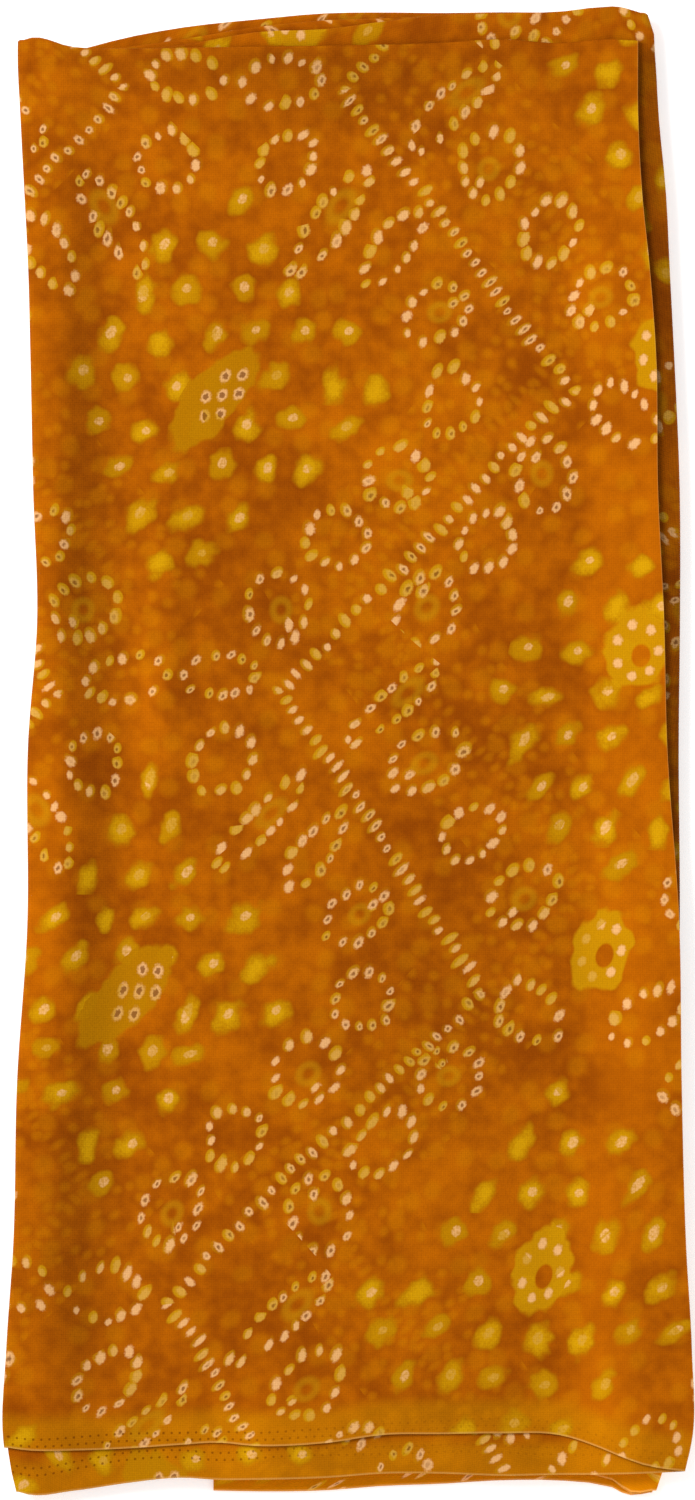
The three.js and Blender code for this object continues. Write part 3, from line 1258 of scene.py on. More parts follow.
@dataclass(frozen=True)
class OutlineDots:
    """How the dots of a motif's outline lie.

    Args:
        squeeze: How much closer together they lie where an outline is long and narrow.
        sharpness: How suddenly an outline comes to its point.
        reaches: How far out they lie, as a share of the outline, from least to most.
        inner: Where a flower's extra dot lies, opposite its point.
        tilts: How far they lean from their motif, in radians, from least to most.
        half_sizes: Half a dot's width and length.
        scales: How its size varies, from least to most.
    """

    squeeze: float = 0.32
    sharpness: float = 3.0
    reaches: Pair = (0.89, 1.09)
    inner: Triple = (0.0, -0.52, 0.0)
    tilts: Pair = (-0.85, 0.25)
    half_sizes: Triple = (1.5, 2.1, 1.0)
    scales: Pair = (0.75, 1.25)

    def nearest(self, group: Graph, band: Socket, spot: Spot) -> Dot:
        """Finds the nearest dot of the motif that covers the spot.

        Args:
            group: The graph that gets the nodes.
            band: The number of the band.
            spot: The spot within its motif.

        Returns:
            The dot.
        """
        half_sizes = group.combined(*spot.half_sizes, 1.0)
        local = group.vector("DIVIDE", spot.upright, half_sizes)
        x, y, _ = group.parts(local)

        # The dots lie evenly along the outline, so their angles differ where it is long.
        squeeze = group.line(group.over(*spot.half_sizes), -self.squeeze, self.squeeze)
        angle = group.math("ARCTAN2", y, x)
        even = group.line(group.math("SINE", group.times(angle, 2.0)), squeeze, angle)
        spacing = group.over(2 * math.pi, spot.dots)
        step = group.math("WRAP", group.math("ROUND", group.over(even, spacing)), spot.dots, 0.0)
        even = group.times(step, spacing)
        angle = group.minus(even, group.times(group.math("SINE", group.times(even, 2.0)), squeeze))
        seed_x, seed_y = spot.seed
        tint, turn, shift = group.random(group.combined(group.plus(step, seed_x), seed_y, band))
        rise = group.math("SINE", angle)
        point = group.math("POWER", group.line(rise, 0.5, 0.5), self.sharpness)
        reach = group.line(point, spot.tip, group.between(shift, *self.reaches))
        run = group.math("COSINE", angle)
        centre = group.combined(group.times(run, reach), group.times(rise, reach))
        offset = group.vector("SUBTRACT", local, centre)

        # A flower has one more dot inside its ring.
        is_flower = group.below(spot.kind, 1 / len(Motif))
        inner = group.vector("SUBTRACT", local, self.inner)
        inside = group.below(group.length(inner), group.length(offset))
        offset = group.blend("VECTOR", group.times(inside, is_flower), offset, inner)
        offset = group.vector("MULTIPLY", offset, half_sizes)
        tilt = group.plus(spot.lean, group.between(turn, *self.tilts))
        scale = group.between(group.another(tint, 7.0), *self.scales)
        shaped = group.vector("DIVIDE", group.turned(offset, tilt), self.half_sizes)
        return Dot(group.vector("DIVIDE", shaped, group.combined(scale, scale, 1.0)), tint)


@dataclass(frozen=True)
class CentreRing:
    """The blurred ring inside flowers and leaves, longer and off centre in a leaf.

    Args:
        half_width: Half its width.
        half_height: Half its height in a flower.
        longer: How much it grows with the motif's height.
        lower: How much it moves with the motif's height.
        line: How far out its line runs, as a share of its half sizes.
        blur: How far its line spreads to where it is gone and to where it is full.
    """

    half_width: float = 4.3
    half_height: float = 4.6
    longer: float = 0.3
    lower: float = 0.6
    line: float = 0.74
    blur: Pair = (0.55, 0.04)

    def cover(self, group: Graph, spot: Spot) -> Socket:
        """Says how far the ring covers the spot.

        Args:
            group: The graph that gets the nodes.
            spot: The spot within its motif.

        Returns:
            The cover, from 0 to 1.
        """
        extra = group.minus(spot.half_sizes[1], Motif.FLOWER.value.half_height)
        half_sizes = group.combined(self.half_width, group.line(extra, self.longer, self.half_height), 1.0)
        centred = group.vector("ADD", spot.upright, group.combined(0.0, group.times(extra, self.lower)))
        off_line = group.unsigned(group.minus(group.oval(centred, half_sizes), self.line))
        has_ring = group.below(spot.kind, 2 / len(Motif))
        return group.times(group.fade(off_line, *self.blur), has_ring)


def dotted_effect(band: Effect) -> Effect:
    """Makes the group that draws the dotted zigzag and the dotted motifs beside it.

    Args:
        band: The group that finds a place within the repeating band.

    Returns:
        The group. Far and Shifted are distances from a dot and from its yellow rim, which lies a
        little beside it, 1 at the outline. Ring covers the blurred rings and Tint is random.
    """
    rim_shift = (0.42, 0.2, 0.0)
    group = Effect("Dotted motifs", {"Position": "vector"}, ("Far", "Shifted", "Ring", "Tint"))
    here = band.use(group, Position=group.given["Position"])
    spot = motif_spot(group, here)
    line = LineDots().nearest(group, here)
    motif = OutlineDots().nearest(group, here["Band"], spot)
    line_far = group.length(line.reach)
    motif_far = group.length(motif.reach)
    closer = group.below(line_far, motif_far)
    reach = group.blend("VECTOR", closer, motif.reach, line.reach)
    group.put(
        Far=group.least(line_far, motif_far),
        Shifted=group.length(group.vector("ADD", reach, rim_shift)),
        Ring=CentreRing().cover(group, spot),
        Tint=group.blend("FLOAT", closer, motif.tint, line.tint),
    )
    return group


@dataclass(frozen=True)
class LongPatch:
    """A slanting patch in every other field, with seven ringed points in three rows.

    Args:
        down: How far down the print its middle lies.
        shift: How far its middle lies from the field's.
        lean: Its lean in degrees.
        half_sizes: Half its width and height.
        points_shift: How far the middle of its points lies from its own.
        points_pitch: Spacing of the points, whose rows are shifted by half of it.
        points_sizes: How many times half a point's size goes into that spacing.
    """

    down: float = 117.0
    shift: Triple = (3.0, 0.0, 0.0)
    lean: float = -38.0
    half_sizes: Triple = (10.8, 21.5, 1.0)
    points_shift: Triple = (4.2, -1.0, 0.0)
    points_pitch: Triple = (6.3, 7.3, 1.0)
    points_sizes: Triple = (3.0, 2.9, 0.0)

    def distances(self, group: Graph, here: Outputs, side: Socket) -> tuple[Socket, Socket]:
        """Measures how far the spot is from the patch and from its nearest point.

        Args:
            group: The graph that gets the nodes.
            here: The spot's place in the band.
            side: Whether the band is mirrored, -1, or not, 1.

        Returns:
            Both distances, 1 at the outline.
        """
        x = group.times(group.plus(here["Across"], PRINT.band_half), side)
        y = group.wrapped(group.minus(here["Down"], self.down), PRINT.period / 2)
        place = group.vector("SUBTRACT", group.combined(x, y), self.shift)
        far = group.oval(group.turned(place, math.radians(self.lean)), self.half_sizes)
        from_points = group.vector("SUBTRACT", place, self.points_shift)
        steps = group.vector("DIVIDE", from_points, self.points_pitch)
        cell = group.vector("FLOOR", group.vector("ADD", steps, (0.5, 0.5, 0.0)))
        column, row, _ = group.parts(cell)
        rank = group.line(row, 0.5, column)
        outside = group.above(group.most(group.unsigned(rank), group.unsigned(row)), 1.2)
        off = group.vector("MULTIPLY", group.vector("SUBTRACT", steps, cell), self.points_sizes)
        return far, group.line(outside, FAR_OFF, group.length(off))


@dataclass(frozen=True)
class RoundPatch:
    """A round lobed patch in the other fields, with a ring of points round a small bare spot.

    Args:
        down: How far down the print the first one's middle lies.
        lowest: Where down the print they lie lower.
        lower: How much lower they lie there.
        leftmost: Where down the print they go from lying further to the left to the field's middle.
        left: How far to the left the upper ones lie.
        half_sizes: Half its width and height.
        lobes: How many lobes it has, and how far they stick out.
        bare: Where its bare spot lies.
        bare_edge: How far out the bare spot ends.
        points: How many points it has.
        ring: How far out they lie.
        points_sizes: How many times half a point's size goes into the patch's own.
    """

    down: float = 99.0
    lowest: Pair = (340.0, 430.0)
    lower: float = 4.0
    leftmost: Pair = (120.0, 350.0)
    left: float = 9.0
    half_sizes: Triple = (11.5, 15.0, 1.0)
    lobes: Pair = (5.0, 0.05)
    bare: Triple = (0.12, 0.12, 0.0)
    bare_edge: Pair = (0.34, 0.24)
    points: int = 7
    ring: float = 0.66
    points_sizes: Triple = (6.6, 7.6, 0.0)

    def distances(self, group: Graph, here: Outputs, side: Socket) -> tuple[Socket, Socket, Socket]:
        """Measures how far the spot is from the patch and from its nearest point.

        Args:
            group: The graph that gets the nodes.
            here: The spot's place in the band.
            side: Whether the band is mirrored, -1, or not, 1.

        Returns:
            Both distances, 1 at the outline, and how bare the spot is.
        """
        lower = group.line(group.fade(here["Down"], *self.lowest), -self.lower, here["Down"])
        y = group.wrapped(group.minus(lower, self.down), PRINT.period / 4)
        x = group.times(group.minus(here["Across"], PRINT.band_half), side)
        x = group.plus(x, group.line(group.fade(here["Down"], *self.leftmost), -self.left, self.left))
        place = group.vector("DIVIDE", group.combined(x, y), self.half_sizes)
        place_x, place_y, _ = group.parts(place)
        angle = group.math("ARCTAN2", place_y, place_x)
        count, height = self.lobes
        lobes = group.times(group.math("SINE", group.times(angle, count)), height)
        bare = group.fade(group.length(group.vector("SUBTRACT", place, self.bare)), *self.bare_edge)
        spacing = 2 * math.pi / self.points
        at = group.times(group.math("ROUND", group.over(angle, spacing)), spacing)
        centre = group.scaled(group.combined(group.math("COSINE", at), group.math("SINE", at)), self.ring)
        off = group.vector("MULTIPLY", group.vector("SUBTRACT", place, centre), self.points_sizes)
        return group.plus(group.length(place), lobes), group.length(off), bare


def patch_effect(band: Effect) -> Effect:
    """Makes the group that draws the fields' large blurred patches and their tied points.

    Args:
        band: The group that finds a place within the repeating band.

    Returns:
        The group. Far is the distance from a patch and Point from a tied point, 1 at the outline.
        Bare covers the small spot that took no tie, Ringed says which points are rings, and Clear
        says which patches are round, with a clearer yellow.
    """
    ragged = 0.35
    outputs = ("Far", "Bare", "Point", "Ringed", "Clear")
    group = Effect("Large patches", {"Position": "vector", "Wander": "float"}, outputs)
    here = band.use(group, Position=group.given["Position"])
    side = group.line(group.math("WRAP", here["Band"], 2.0, 0.0), -2.0, 1.0)
    long_far, ringed_point = LongPatch().distances(group, here, side)
    round_far, plain_point, bare = RoundPatch().distances(group, here, side)
    group.put(
        Far=group.line(group.given["Wander"], ragged, group.least(long_far, round_far)),
        Bare=bare,
        Point=group.least(ringed_point, plain_point),
        Ringed=group.below(ringed_point, plain_point),
        Clear=group.below(round_far, long_far),
    )
    return group


@dataclass(frozen=True)
class Halos:
    """How the blurred halos of the open fields lie and vary. A pair goes from least to most.

    Args:
        across: Where a halo lies across its own cell of the field.
        down: Where it lies down the cell.
        turns: How far it is turned, in radians.
        rarity: How rare the long ones are.
        stretches: How much longer than wide it is.
        half_widths: Half its width.
        narrower: How much narrower a long one is.
        cores: Half the width of its tied point.
        core_down: How far its tied point lies off its middle.
        blank_from: The chance above which it has no tied point left to see.
    """

    across: Pair = (0.36, 0.64)
    down: Pair = (0.37, 0.63)
    turns: Pair = (-1.4, 0.1)
    rarity: float = 4.0
    stretches: Pair = (1.1, 1.9)
    half_widths: Pair = (4.4, 5.6)
    narrower: float = 1.4
    cores: Pair = (1.4, 1.9)
    core_down: float = 0.6
    blank_from: float = 0.85

    def effect(self, band: Effect) -> Effect:
        """Makes the group that scatters the halos, each round a tied point.

        Args:
            band: The group that finds a place within the repeating band.

        Returns:
            The group. Far is the distance from a halo and Point from its tied point.
        """
        inputs = {"Position": "vector", "Wander": "float"}
        group = Effect("Field halos", inputs, ("Far", "Point", "Tint"))
        given = group.given["Position"]
        pitch = (*PRINT.halo_pitch, 1.0)
        grid_x, grid_y, _ = group.parts(group.vector("DIVIDE", given, pitch))
        row = group.math("FLOOR", grid_y)
        grid_x = group.line(row, 0.5, grid_x)
        column = group.math("FLOOR", grid_x)
        first, second, third = group.random(group.combined(column, row, 3.0))
        off = group.combined(group.minus(grid_x, column), group.minus(grid_y, row))
        centre = group.combined(group.between(first, *self.across), group.between(third, *self.down))
        spoke = group.vector("MULTIPLY", group.vector("SUBTRACT", off, centre), pitch)
        field = band.use(group, Position=group.vector("SUBTRACT", given, spoke))
        too_near = group.below(group.unsigned(field["Aside"]), PRINT.halo_from * PRINT.drop)
        absent = group.times(too_near, FAR_OFF)
        long = group.math("POWER", group.another(third, 9.0), self.rarity)
        slanted = group.turned(spoke, group.between(first, *self.turns))
        stretch = group.between(long, *self.stretches)
        least, most = self.half_widths
        width = group.line(second, most - least, group.line(long, -self.narrower, least))
        far = group.oval(slanted, group.combined(width, group.times(width, stretch), 1.0))
        core = group.between(first, *self.cores)
        nudge = group.combined(group.minus(second, 0.5), self.core_down)
        nudged = group.vector("ADD", slanted, nudge)
        point = group.oval(nudged, group.combined(core, group.times(stretch, core), 1.0))
        blank = group.times(group.above(third, self.blank_from), FAR_OFF)
        group.put(
            Far=group.plus(group.plus(far, group.given["Wander"]), absent),
            Point=group.plus(point, group.plus(absent, blank)),
            Tint=third,
        )
        return group


@dataclass(frozen=True)
class FaintPrint:
    """The print of the leaf underneath, as it shows through faintly.

    Args:
        beside: How far from the zigzag its scattered dots reach.
        dot_cell: Spacing of those dots.
        dot_scale: How many times half a dot's size goes into that spacing.
        dot_edge: How far out a dot is gone and how far out it is full.
        dot_strength: How strongly the dots show.
        halo_cell: Spacing of the halos.
        halo_edge: How far out a halo is gone and how far out it is full.
        halo_strength: How strongly the halos show.
    """

    beside: float = 27.0
    dot_cell: float = 8.0
    dot_scale: float = 4.7
    dot_edge: Pair = (1.7, 0.3)
    dot_strength: float = 0.8
    halo_cell: float = 15.0
    halo_edge: Pair = (0.34, 0.12)
    halo_strength: float = 0.7

    def effect(self, band: Effect) -> Effect:
        """Makes the group that draws it.

        Args:
            band: The group that finds a place within the repeating band.

        Returns:
            The group. Mark covers the zigzag, the dots beside it and the halos.
        """
        group = Effect("Print underneath", {"Position": "vector"}, ("Mark",))
        place = group.given["Position"]
        here = band.use(group, Position=place)
        line = group.length(LineDots().nearest(group, here).reach)
        too_far = group.times(group.above(group.unsigned(here["Aside"]), self.beside), FAR_OFF)
        scattered = group.line(group.cells(place, self.dot_cell), self.dot_scale, too_far)
        dots = group.times(group.fade(group.least(line, scattered), *self.dot_edge), self.dot_strength)
        halo = group.fade(group.cells(place, self.halo_cell), *self.halo_edge)
        group.put(Mark=group.most(dots, group.times(halo, self.halo_strength)))
        return group


@dataclass(frozen=True)
class Weave:
    """The crepe weave.

    Args:
        thread: Height of the threads.
        crepe_size: Size of the crepe's grain.
        thread_shade: How strongly the threads shade the cloth, against the crepe.
    """

    thread: float = 0.22
    crepe_size: float = 0.8
    thread_shade: float = 0.8

    def effect(self) -> Effect:
        """Makes the group that draws the threads and the crepe's grain.

        Returns:
            The group. Height lifts the surface and Shade lightens or darkens it.
        """
        group = Effect("Crepe weave", {"Position": "vector"}, ("Height", "Shade"))
        position = group.given["Position"]
        x, y, _ = group.parts(group.scaled(position, 2 * math.pi / THREAD_PAIR))
        crepe = group.noise(position, self.crepe_size)
        threads = group.times(group.plus(group.math("SINE", x), group.math("SINE", y)), self.thread)
        group.put(Height=group.plus(threads, crepe), Shade=group.line(threads, self.thread_shade, crepe))
        return group


@dataclass(frozen=True)
class Selvedge:
    """The selvedges' pale strip and pin holes, and the painted light line along every edge.

    Args:
        strip: How far in the pale strip is gone and how far in it is full.
        pale: How strongly it shows.
        pin_pitch: Spacing of the pin holes.
        pin_rows: How far in each row of them lies, and how far it is shifted, in pitches.
        deeper: How much further in the rows lie on leaf B.
        sway: How far the rows sway.
        sway_turn: How fast they sway, in radians for each millimetre.
        hole: How far out a hole is gone and how far out it is full.
        holes_shown: Where along the cloth the holes start to show more clearly.
        holes_hidden: Where along the cloth, towards its last end, they are gone and still show.
        holes_faint: How clearly they show at first.
        holes_clear: How much more clearly they show later.
        raw: How much narrower the painted light line is on a cut end.
        line: How far in the painted light line is gone and how far in it is full.
        painted_edge_light: How strongly the painted light line shows.
    """

    strip: Pair = (16.0, 9.0)
    pale: float = 0.5
    pin_pitch: float = 3.1
    pin_rows: tuple[Pair, Pair] = ((2.2, 0.0), (4.9, 0.5))
    deeper: float = 6.0
    sway: float = 0.7
    sway_turn: float = 0.09
    hole: Pair = (0.62, 0.3)
    holes_shown: Pair = (30.0, -70.0)
    holes_hidden: Pair = (-500.0, -300.0)
    holes_faint: float = 0.2
    holes_clear: float = 0.5
    raw: float = 0.5
    line: Pair = (0.9, 0.3)
    painted_edge_light: float = 0.4

    def holes(self, graph: Graph, cloth: Socket, selvedge: Socket) -> Socket:
        """Draws the two staggered rows of pin holes.

        Args:
            graph: The material's graph.
            cloth: The spot's place on the cloth.
            selvedge: How far in it lies, negative on leaf B.

        Returns:
            How far the holes cover the spot.
        """
        along, _, _ = graph.parts(cloth)
        drift = graph.times(graph.math("SINE", graph.times(along, self.sway_turn)), self.sway)
        on_b = graph.below(selvedge, 0.0)
        depth = graph.minus(graph.plus(graph.unsigned(selvedge), drift), graph.times(on_b, self.deeper))
        rows = []
        for inward, shift in self.pin_rows:
            from_pin = graph.plus(along, shift * self.pin_pitch)
            place = graph.math("PINGPONG", from_pin, self.pin_pitch / 2)
            out = graph.length(graph.combined(place, graph.minus(depth, inward)))
            rows.append(graph.fade(out, *self.hole))
        clear = graph.line(graph.fade(along, *self.holes_shown), self.holes_clear, self.holes_faint)
        clear = graph.times(clear, graph.fade(along, *self.holes_hidden))
        return graph.times(graph.most(*rows), clear)

    def edge(self, graph: Graph, selvedge: Socket, cut: Socket) -> Socket:
        """Draws the thin painted light line along a woven or a cut edge.

        Args:
            graph: The material's graph.
            selvedge: How far the spot lies from the selvedge, negative on leaf B.
            cut: How far it lies from a cut end.

        Returns:
            How far the line covers the spot.
        """
        nearest = graph.least(graph.unsigned(selvedge), graph.plus(cut, self.raw))
        return graph.fade(nearest, *self.line)


@dataclass(frozen=True)
class Covers:
    """How strongly each part of the print covers what is under it.

    An edge is a pair: how far out a thing is gone, and how far out it is full. Tints are a pair
    too: the random tint that gives none of it, and the one that gives all of it.

    Args:
        mottle: How much the smaller clouds change the ground.
        hollow: How strongly shade is painted over the hollows.
        painted_shade_depths: The heights at which the painted shade starts and at which it is full.
        raised: How strongly light is painted on the ridges.
        painted_light_heights: The heights at which the painted light starts and at which it is full.
        through: The print of the leaf underneath.
        rough: How much the grain roughens the points' edges.
        rough_glow: How much it roughens the halos' bright middles.
        ring: The blurred rings inside motifs.
        halo: The halos.
        halo_edge: A halo's edge.
        patch: The large patches.
        patch_edge: A patch's edge.
        patch_reach: How far out from a patch no halo has a tied point.
        clear: How much clearer a round patch is.
        glow_edge: The edge of a halo's bright middle.
        glow_tints: The tints of its bright middle.
        rim: The yellow rims of the motifs' dots.
        rim_edge: A rim's edge.
        rim_tints: A rim's tints.
        point: The pale tied points.
        point_edge: A point's edge.
        faint_core: The least distance from a halo's tied point, which keeps it from being full.
        stain: The yellow stain over some points.
        stain_tints: A stain's tints.
        pip: The dark pips in some points.
        pip_edge: A pip's edge.
        ring_pip_edge: A pip's edge in the ringed points of a long patch.
    """

    mottle: float = 0.7
    hollow: float = 0.2
    painted_shade_depths: Pair = (-0.2, -1.7)
    raised: float = 0.5
    painted_light_heights: Pair = (0.2, 1.5)
    through: float = 0.42
    rough: float = 0.6
    rough_glow: float = 0.5
    ring: float = 0.34
    halo: float = 0.95
    halo_edge: Pair = (1.2, 0.7)
    patch: float = 0.85
    patch_edge: Pair = (1.08, 0.92)
    patch_reach: float = 1.05
    clear: float = 0.55
    glow_edge: Pair = (1.0, 0.2)
    glow_tints: Pair = (-0.3, 0.8)
    rim: float = 0.8
    rim_edge: Pair = (1.5, 1.0)
    rim_tints: Pair = (1.1, 0.1)
    point: float = 0.9
    point_edge: Pair = (1.2, 0.6)
    faint_core: float = 0.84
    stain: float = 0.8
    stain_tints: Pair = (0.65, 0.15)
    pip: float = 0.8
    pip_edge: Pair = (0.6, 0.15)
    ring_pip_edge: Pair = (0.66, 0.35)


@dataclass(frozen=True)
class Tied:
    """The print's groups as the material uses them, and what roughens their edges.

    Args:
        dotted: Outputs of the dotted motifs.
        halo: Outputs of the halos.
        patch: Outputs of the patches.
        grain: Fine noise that roughens edges.
        pips: How likely dark pips are.
    """

    dotted: Outputs
    halo: Outputs
    patch: Outputs
    grain: Socket
    pips: Socket


@dataclass(frozen=True)
class GeorgetteDye:
    """The cloth's colours and surface.

    Args:
        dark: The dyed ground where it is deepest.
        light: The ground where it is lightest.
        hollow: The painted shade of the ground over a hollow.
        ochre: Halos and patches, where the dye ran under the ties.
        bright: The clearer yellow in the middle of a halo.
        yellow: Rims and rings.
        pale: Tied points that stayed almost white.
        pip: The dark spot in the middle of some tied points.
        under: Marks of the layers below, showing through.
        selvedge: The paler selvedge.
        hole: The selvedge's pin holes.
        edge: The thin painted light line along a cut or woven edge.
        depth: How much of these colours the thin cloth keeps.
        painted_relief_shade: How much painted light brightens it where it lies higher, and painted shade
            darkens it where it lies lower.
        depth_weave: How much the weave changes what it keeps.
        roughness: Its dull surface.
        grain_size: Size of the fine noise.
        wander_size: Size of the noise that makes halos and patches uneven.
        covers: How strongly each part of the print covers what is under it.
        edges: The selvedges and the light lines.
    """

    dark: Colour = srgb(158, 73, 0)
    light: Colour = srgb(204, 107, 0)
    hollow: Colour = srgb(136, 58, 0)
    ochre: Colour = srgb(196, 130, 0)
    bright: Colour = srgb(224, 164, 6)
    yellow: Colour = srgb(216, 158, 14)
    pale: Colour = srgb(252, 191, 126)
    pip: Colour = srgb(132, 70, 12)
    under: Colour = srgb(220, 134, 0)
    selvedge: Colour = srgb(208, 134, 0)
    hole: Colour = srgb(120, 58, 0)
    edge: Colour = srgb(242, 186, 104)
    depth: float = 0.722
    painted_relief_shade: float = 0.11
    depth_weave: float = 0.17
    roughness: float = 0.85
    grain_size: float = 1.1
    wander_size: float = 6.5
    covers: Covers = Covers()
    edges: Selvedge = Selvedge()

    def material(self) -> bpy.types.Material:
        """Builds the georgette's material.

        Returns:
            The material.
        """
        material = bpy.data.materials.new("Printed georgette")
        material.use_nodes = True
        material.node_tree.nodes.clear()
        graph = Graph(material.node_tree)
        cloth, place, below = (graph.mapped(name) for name in ("Cloth", "Print", "Below"))
        state = graph.add("ShaderNodeAttribute", {}, attribute_name="state")
        tone, relief, pips = graph.parts(state.outputs["Vector"])
        selvedge, cut, _ = graph.parts(graph.mapped("Edges"))
        grain = graph.noise(cloth, self.grain_size)
        wander = graph.noise(cloth, self.wander_size)
        band = band_effect()
        tied = Tied(
            dotted_effect(band).use(graph, Position=place),
            Halos().effect(band).use(graph, Position=place, Wander=wander),
            patch_effect(band).use(graph, Position=place, Wander=wander),
            grain,
            pips,
        )

        # The colours go on from the bottom up.
        color = self.ground(graph, tone, relief, wander)
        strip = graph.fade(graph.unsigned(selvedge), *self.edges.strip)
        color = graph.tinted(strip, self.edges.pale, color, self.selvedge)
        through = FaintPrint().effect(band).use(graph, Position=below)["Mark"]
        color = graph.tinted(through, self.covers.through, color, self.under)
        color = self.patches(graph, tied, color)
        color = self.points(graph, tied, color)
        holes = self.edges.holes(graph, cloth, selvedge)
        color = graph.blend("RGBA", holes, color, self.hole)
        # A thin line of painted light along every edge.
        edge = self.edges.edge(graph, selvedge, cut)
        color = graph.tinted(edge, self.edges.painted_edge_light, color, self.edge)
        self.surface(graph, cloth, relief, color)
        return material

    def surface(self, graph: Graph, cloth: Socket, relief: Socket, color: Socket) -> None:
        """Adds the crepe weave, the painted shade and light by height, and the shader.

        Args:
            graph: The material's graph.
            cloth: Places on the cloth.
            relief: How high the cloth lies, less the painted shade behind the front panel's end and plus
                the painted light on the lowest hem.
            color: The printed colour.
        """
        weave = Weave().effect().use(graph, Position=cloth)
        # Painted shade and light: the colour darkens where the cloth lies low and lightens where it lies
        # high.
        depth = graph.line(relief, self.painted_relief_shade, self.depth)
        color = graph.scaled(color, graph.line(weave["Shade"], self.depth_weave, depth))
        threads = {"Height": weave["Height"], "Strength": 0.35, "Distance": 0.0002}
        bump = graph.add("ShaderNodeBump", threads)
        surface = graph.add(
            "ShaderNodeBsdfPrincipled",
            {
                "Base Color": color,
                "Roughness": self.roughness,
                "Normal": bump.outputs[0],
                "Specular IOR Level": 0.03,
                "Sheen Weight": 0.05,
                "Sheen Roughness": 0.5,
                "Sheen Tint": srgb(255, 170, 20),
            },
        )
        graph.add("ShaderNodeOutputMaterial", {"Surface": surface.outputs[0]})

    def ground(self, graph: Graph, tone: Socket, relief: Socket, mottle: Socket) -> Socket:
        """Gives the dyed ground its clouds, painted shade where the cloth lies low and painted light where
        it lies high.

        Args:
            graph: The material's graph.
            tone: Large clouds.
            relief: How high the cloth lies, less the painted shade behind the front panel's end and plus
                the painted light on the lowest hem.
            mottle: Smaller clouds.

        Returns:
            The ground's colour.
        """
        covers = self.covers
        clouds = graph.line(mottle, covers.mottle, tone)
        color = graph.blend("RGBA", graph.fade(clouds, 0.0, 1.0), self.dark, self.light)
        # Painted shade darkens the hollows and painted light lightens the ridges.
        color = graph.tinted(graph.fade(relief, *covers.painted_shade_depths), covers.hollow, color, self.hollow)
        return graph.tinted(graph.fade(relief, *covers.painted_light_heights), covers.raised, color, self.light)

    def patches(self, graph: Graph, tied: Tied, color: Socket) -> Socket:
        """Lays the blurred rings, halos and patches on the ground.

        Args:
            graph: The material's graph.
            tied: The print's groups.
            color: The ground's colour.

        Returns:
            The colour with them.
        """
        covers = self.covers
        halo, patch = tied.halo, tied.patch
        color = graph.tinted(tied.dotted["Ring"], covers.ring, color, self.yellow)
        inside = self.in_patch(graph, tied)
        deep = graph.line(tied.grain, covers.rough_glow, graph.plus(halo["Far"], inside))
        tint = graph.fade(halo["Tint"], *covers.glow_tints)
        glow = graph.times(graph.fade(deep, *covers.glow_edge), tint)
        clear = graph.times(graph.times(inside, patch["Clear"]), covers.clear)
        dye = graph.blend("RGBA", graph.most(glow, clear), self.ochre, self.bright)
        halo_cover = graph.times(graph.fade(halo["Far"], *covers.halo_edge), covers.halo)
        patch_cover = graph.times(graph.fade(patch["Far"], *covers.patch_edge), covers.patch)
        cover = graph.most(halo_cover, patch_cover)
        return graph.blend("RGBA", graph.minus(cover, patch["Bare"]), color, dye)

    def in_patch(self, graph: Graph, tied: Tied) -> Socket:
        """Says whether the spot lies in a large patch, where no halo has a tied point."""
        return graph.below(tied.patch["Far"], self.covers.patch_reach)

    def points(self, graph: Graph, tied: Tied, color: Socket) -> Socket:
        """Draws the tied points, with their yellow rims, stains and dark pips.

        Args:
            graph: The material's graph.
            tied: The print's groups.
            color: The colour so far.

        Returns:
            The printed colour.
        """
        covers = self.covers
        dotted, patch = tied.dotted, tied.patch
        rough = graph.times(tied.grain, covers.rough)
        tint = graph.fade(dotted["Tint"], *covers.rim_tints)
        rim = graph.times(graph.fade(dotted["Shifted"], *covers.rim_edge), tint)
        color = graph.tinted(rim, covers.rim, color, self.yellow)
        halo_point = graph.line(self.in_patch(graph, tied), FAR_OFF, tied.halo["Point"])
        halo_point = graph.plus(graph.most(halo_point, covers.faint_core), rough)
        motif_point = graph.plus(dotted["Far"], rough)
        patch_point = graph.plus(patch["Point"], rough)
        point = graph.least(halo_point, graph.least(patch_point, motif_point))
        pip = graph.times(graph.fade(motif_point, *covers.pip_edge), tied.pips)
        ringed = graph.times(graph.fade(patch_point, *covers.ring_pip_edge), patch["Ringed"])
        stained = graph.times(graph.fade(dotted["Tint"], *covers.stain_tints), covers.stain)
        pale = graph.blend("RGBA", stained, self.pale, self.yellow)
        color = graph.tinted(graph.fade(point, *covers.point_edge), covers.point, color, pale)
        return graph.tinted(graph.most(pip, ringed), covers.pip, color, self.pip)


@dataclass(frozen=True)
class Cloth:
    """The one piece: the folded length of georgette.

    Args:
        strip: Its folded form.
        dye: Its finish.
    """

    strip: FoldedStrip
    dye: GeorgetteDye

    def build(self) -> Vector:
        """Returns:
            Where the middle of the stack's box lay in the tables' own coordinates.
        """
        mesh, middle = self.strip.mesh("georgette_length")
        piece = bpy.data.objects.new("georgette_length", mesh)
        bpy.context.scene.collection.objects.link(piece)
        mesh.materials.append(self.dye.material())
        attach(piece, "root")
        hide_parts(NODE)
        flat = self.flat_size()
        LOG.info("%s: %d faces, flat %.3f by %.3f m", piece.name, len(mesh.polygons), *flat)
        return middle

    def flat_size(self) -> Pair:
        """Measures the unfolded cloth.

        Returns:
            Its width and length in metres.
        """
        rings = self.strip.rings()
        along = np.array([ring.cloth[:, 0] for ring in rings])
        across = np.array([ring.cloth[:, 1] for ring in rings])
        width = float(np.median(across.max(axis=1) - across.min(axis=1)))
        length = float(np.median(along.max(axis=0) - along.min(axis=0)))
        return width * MM, length * MM


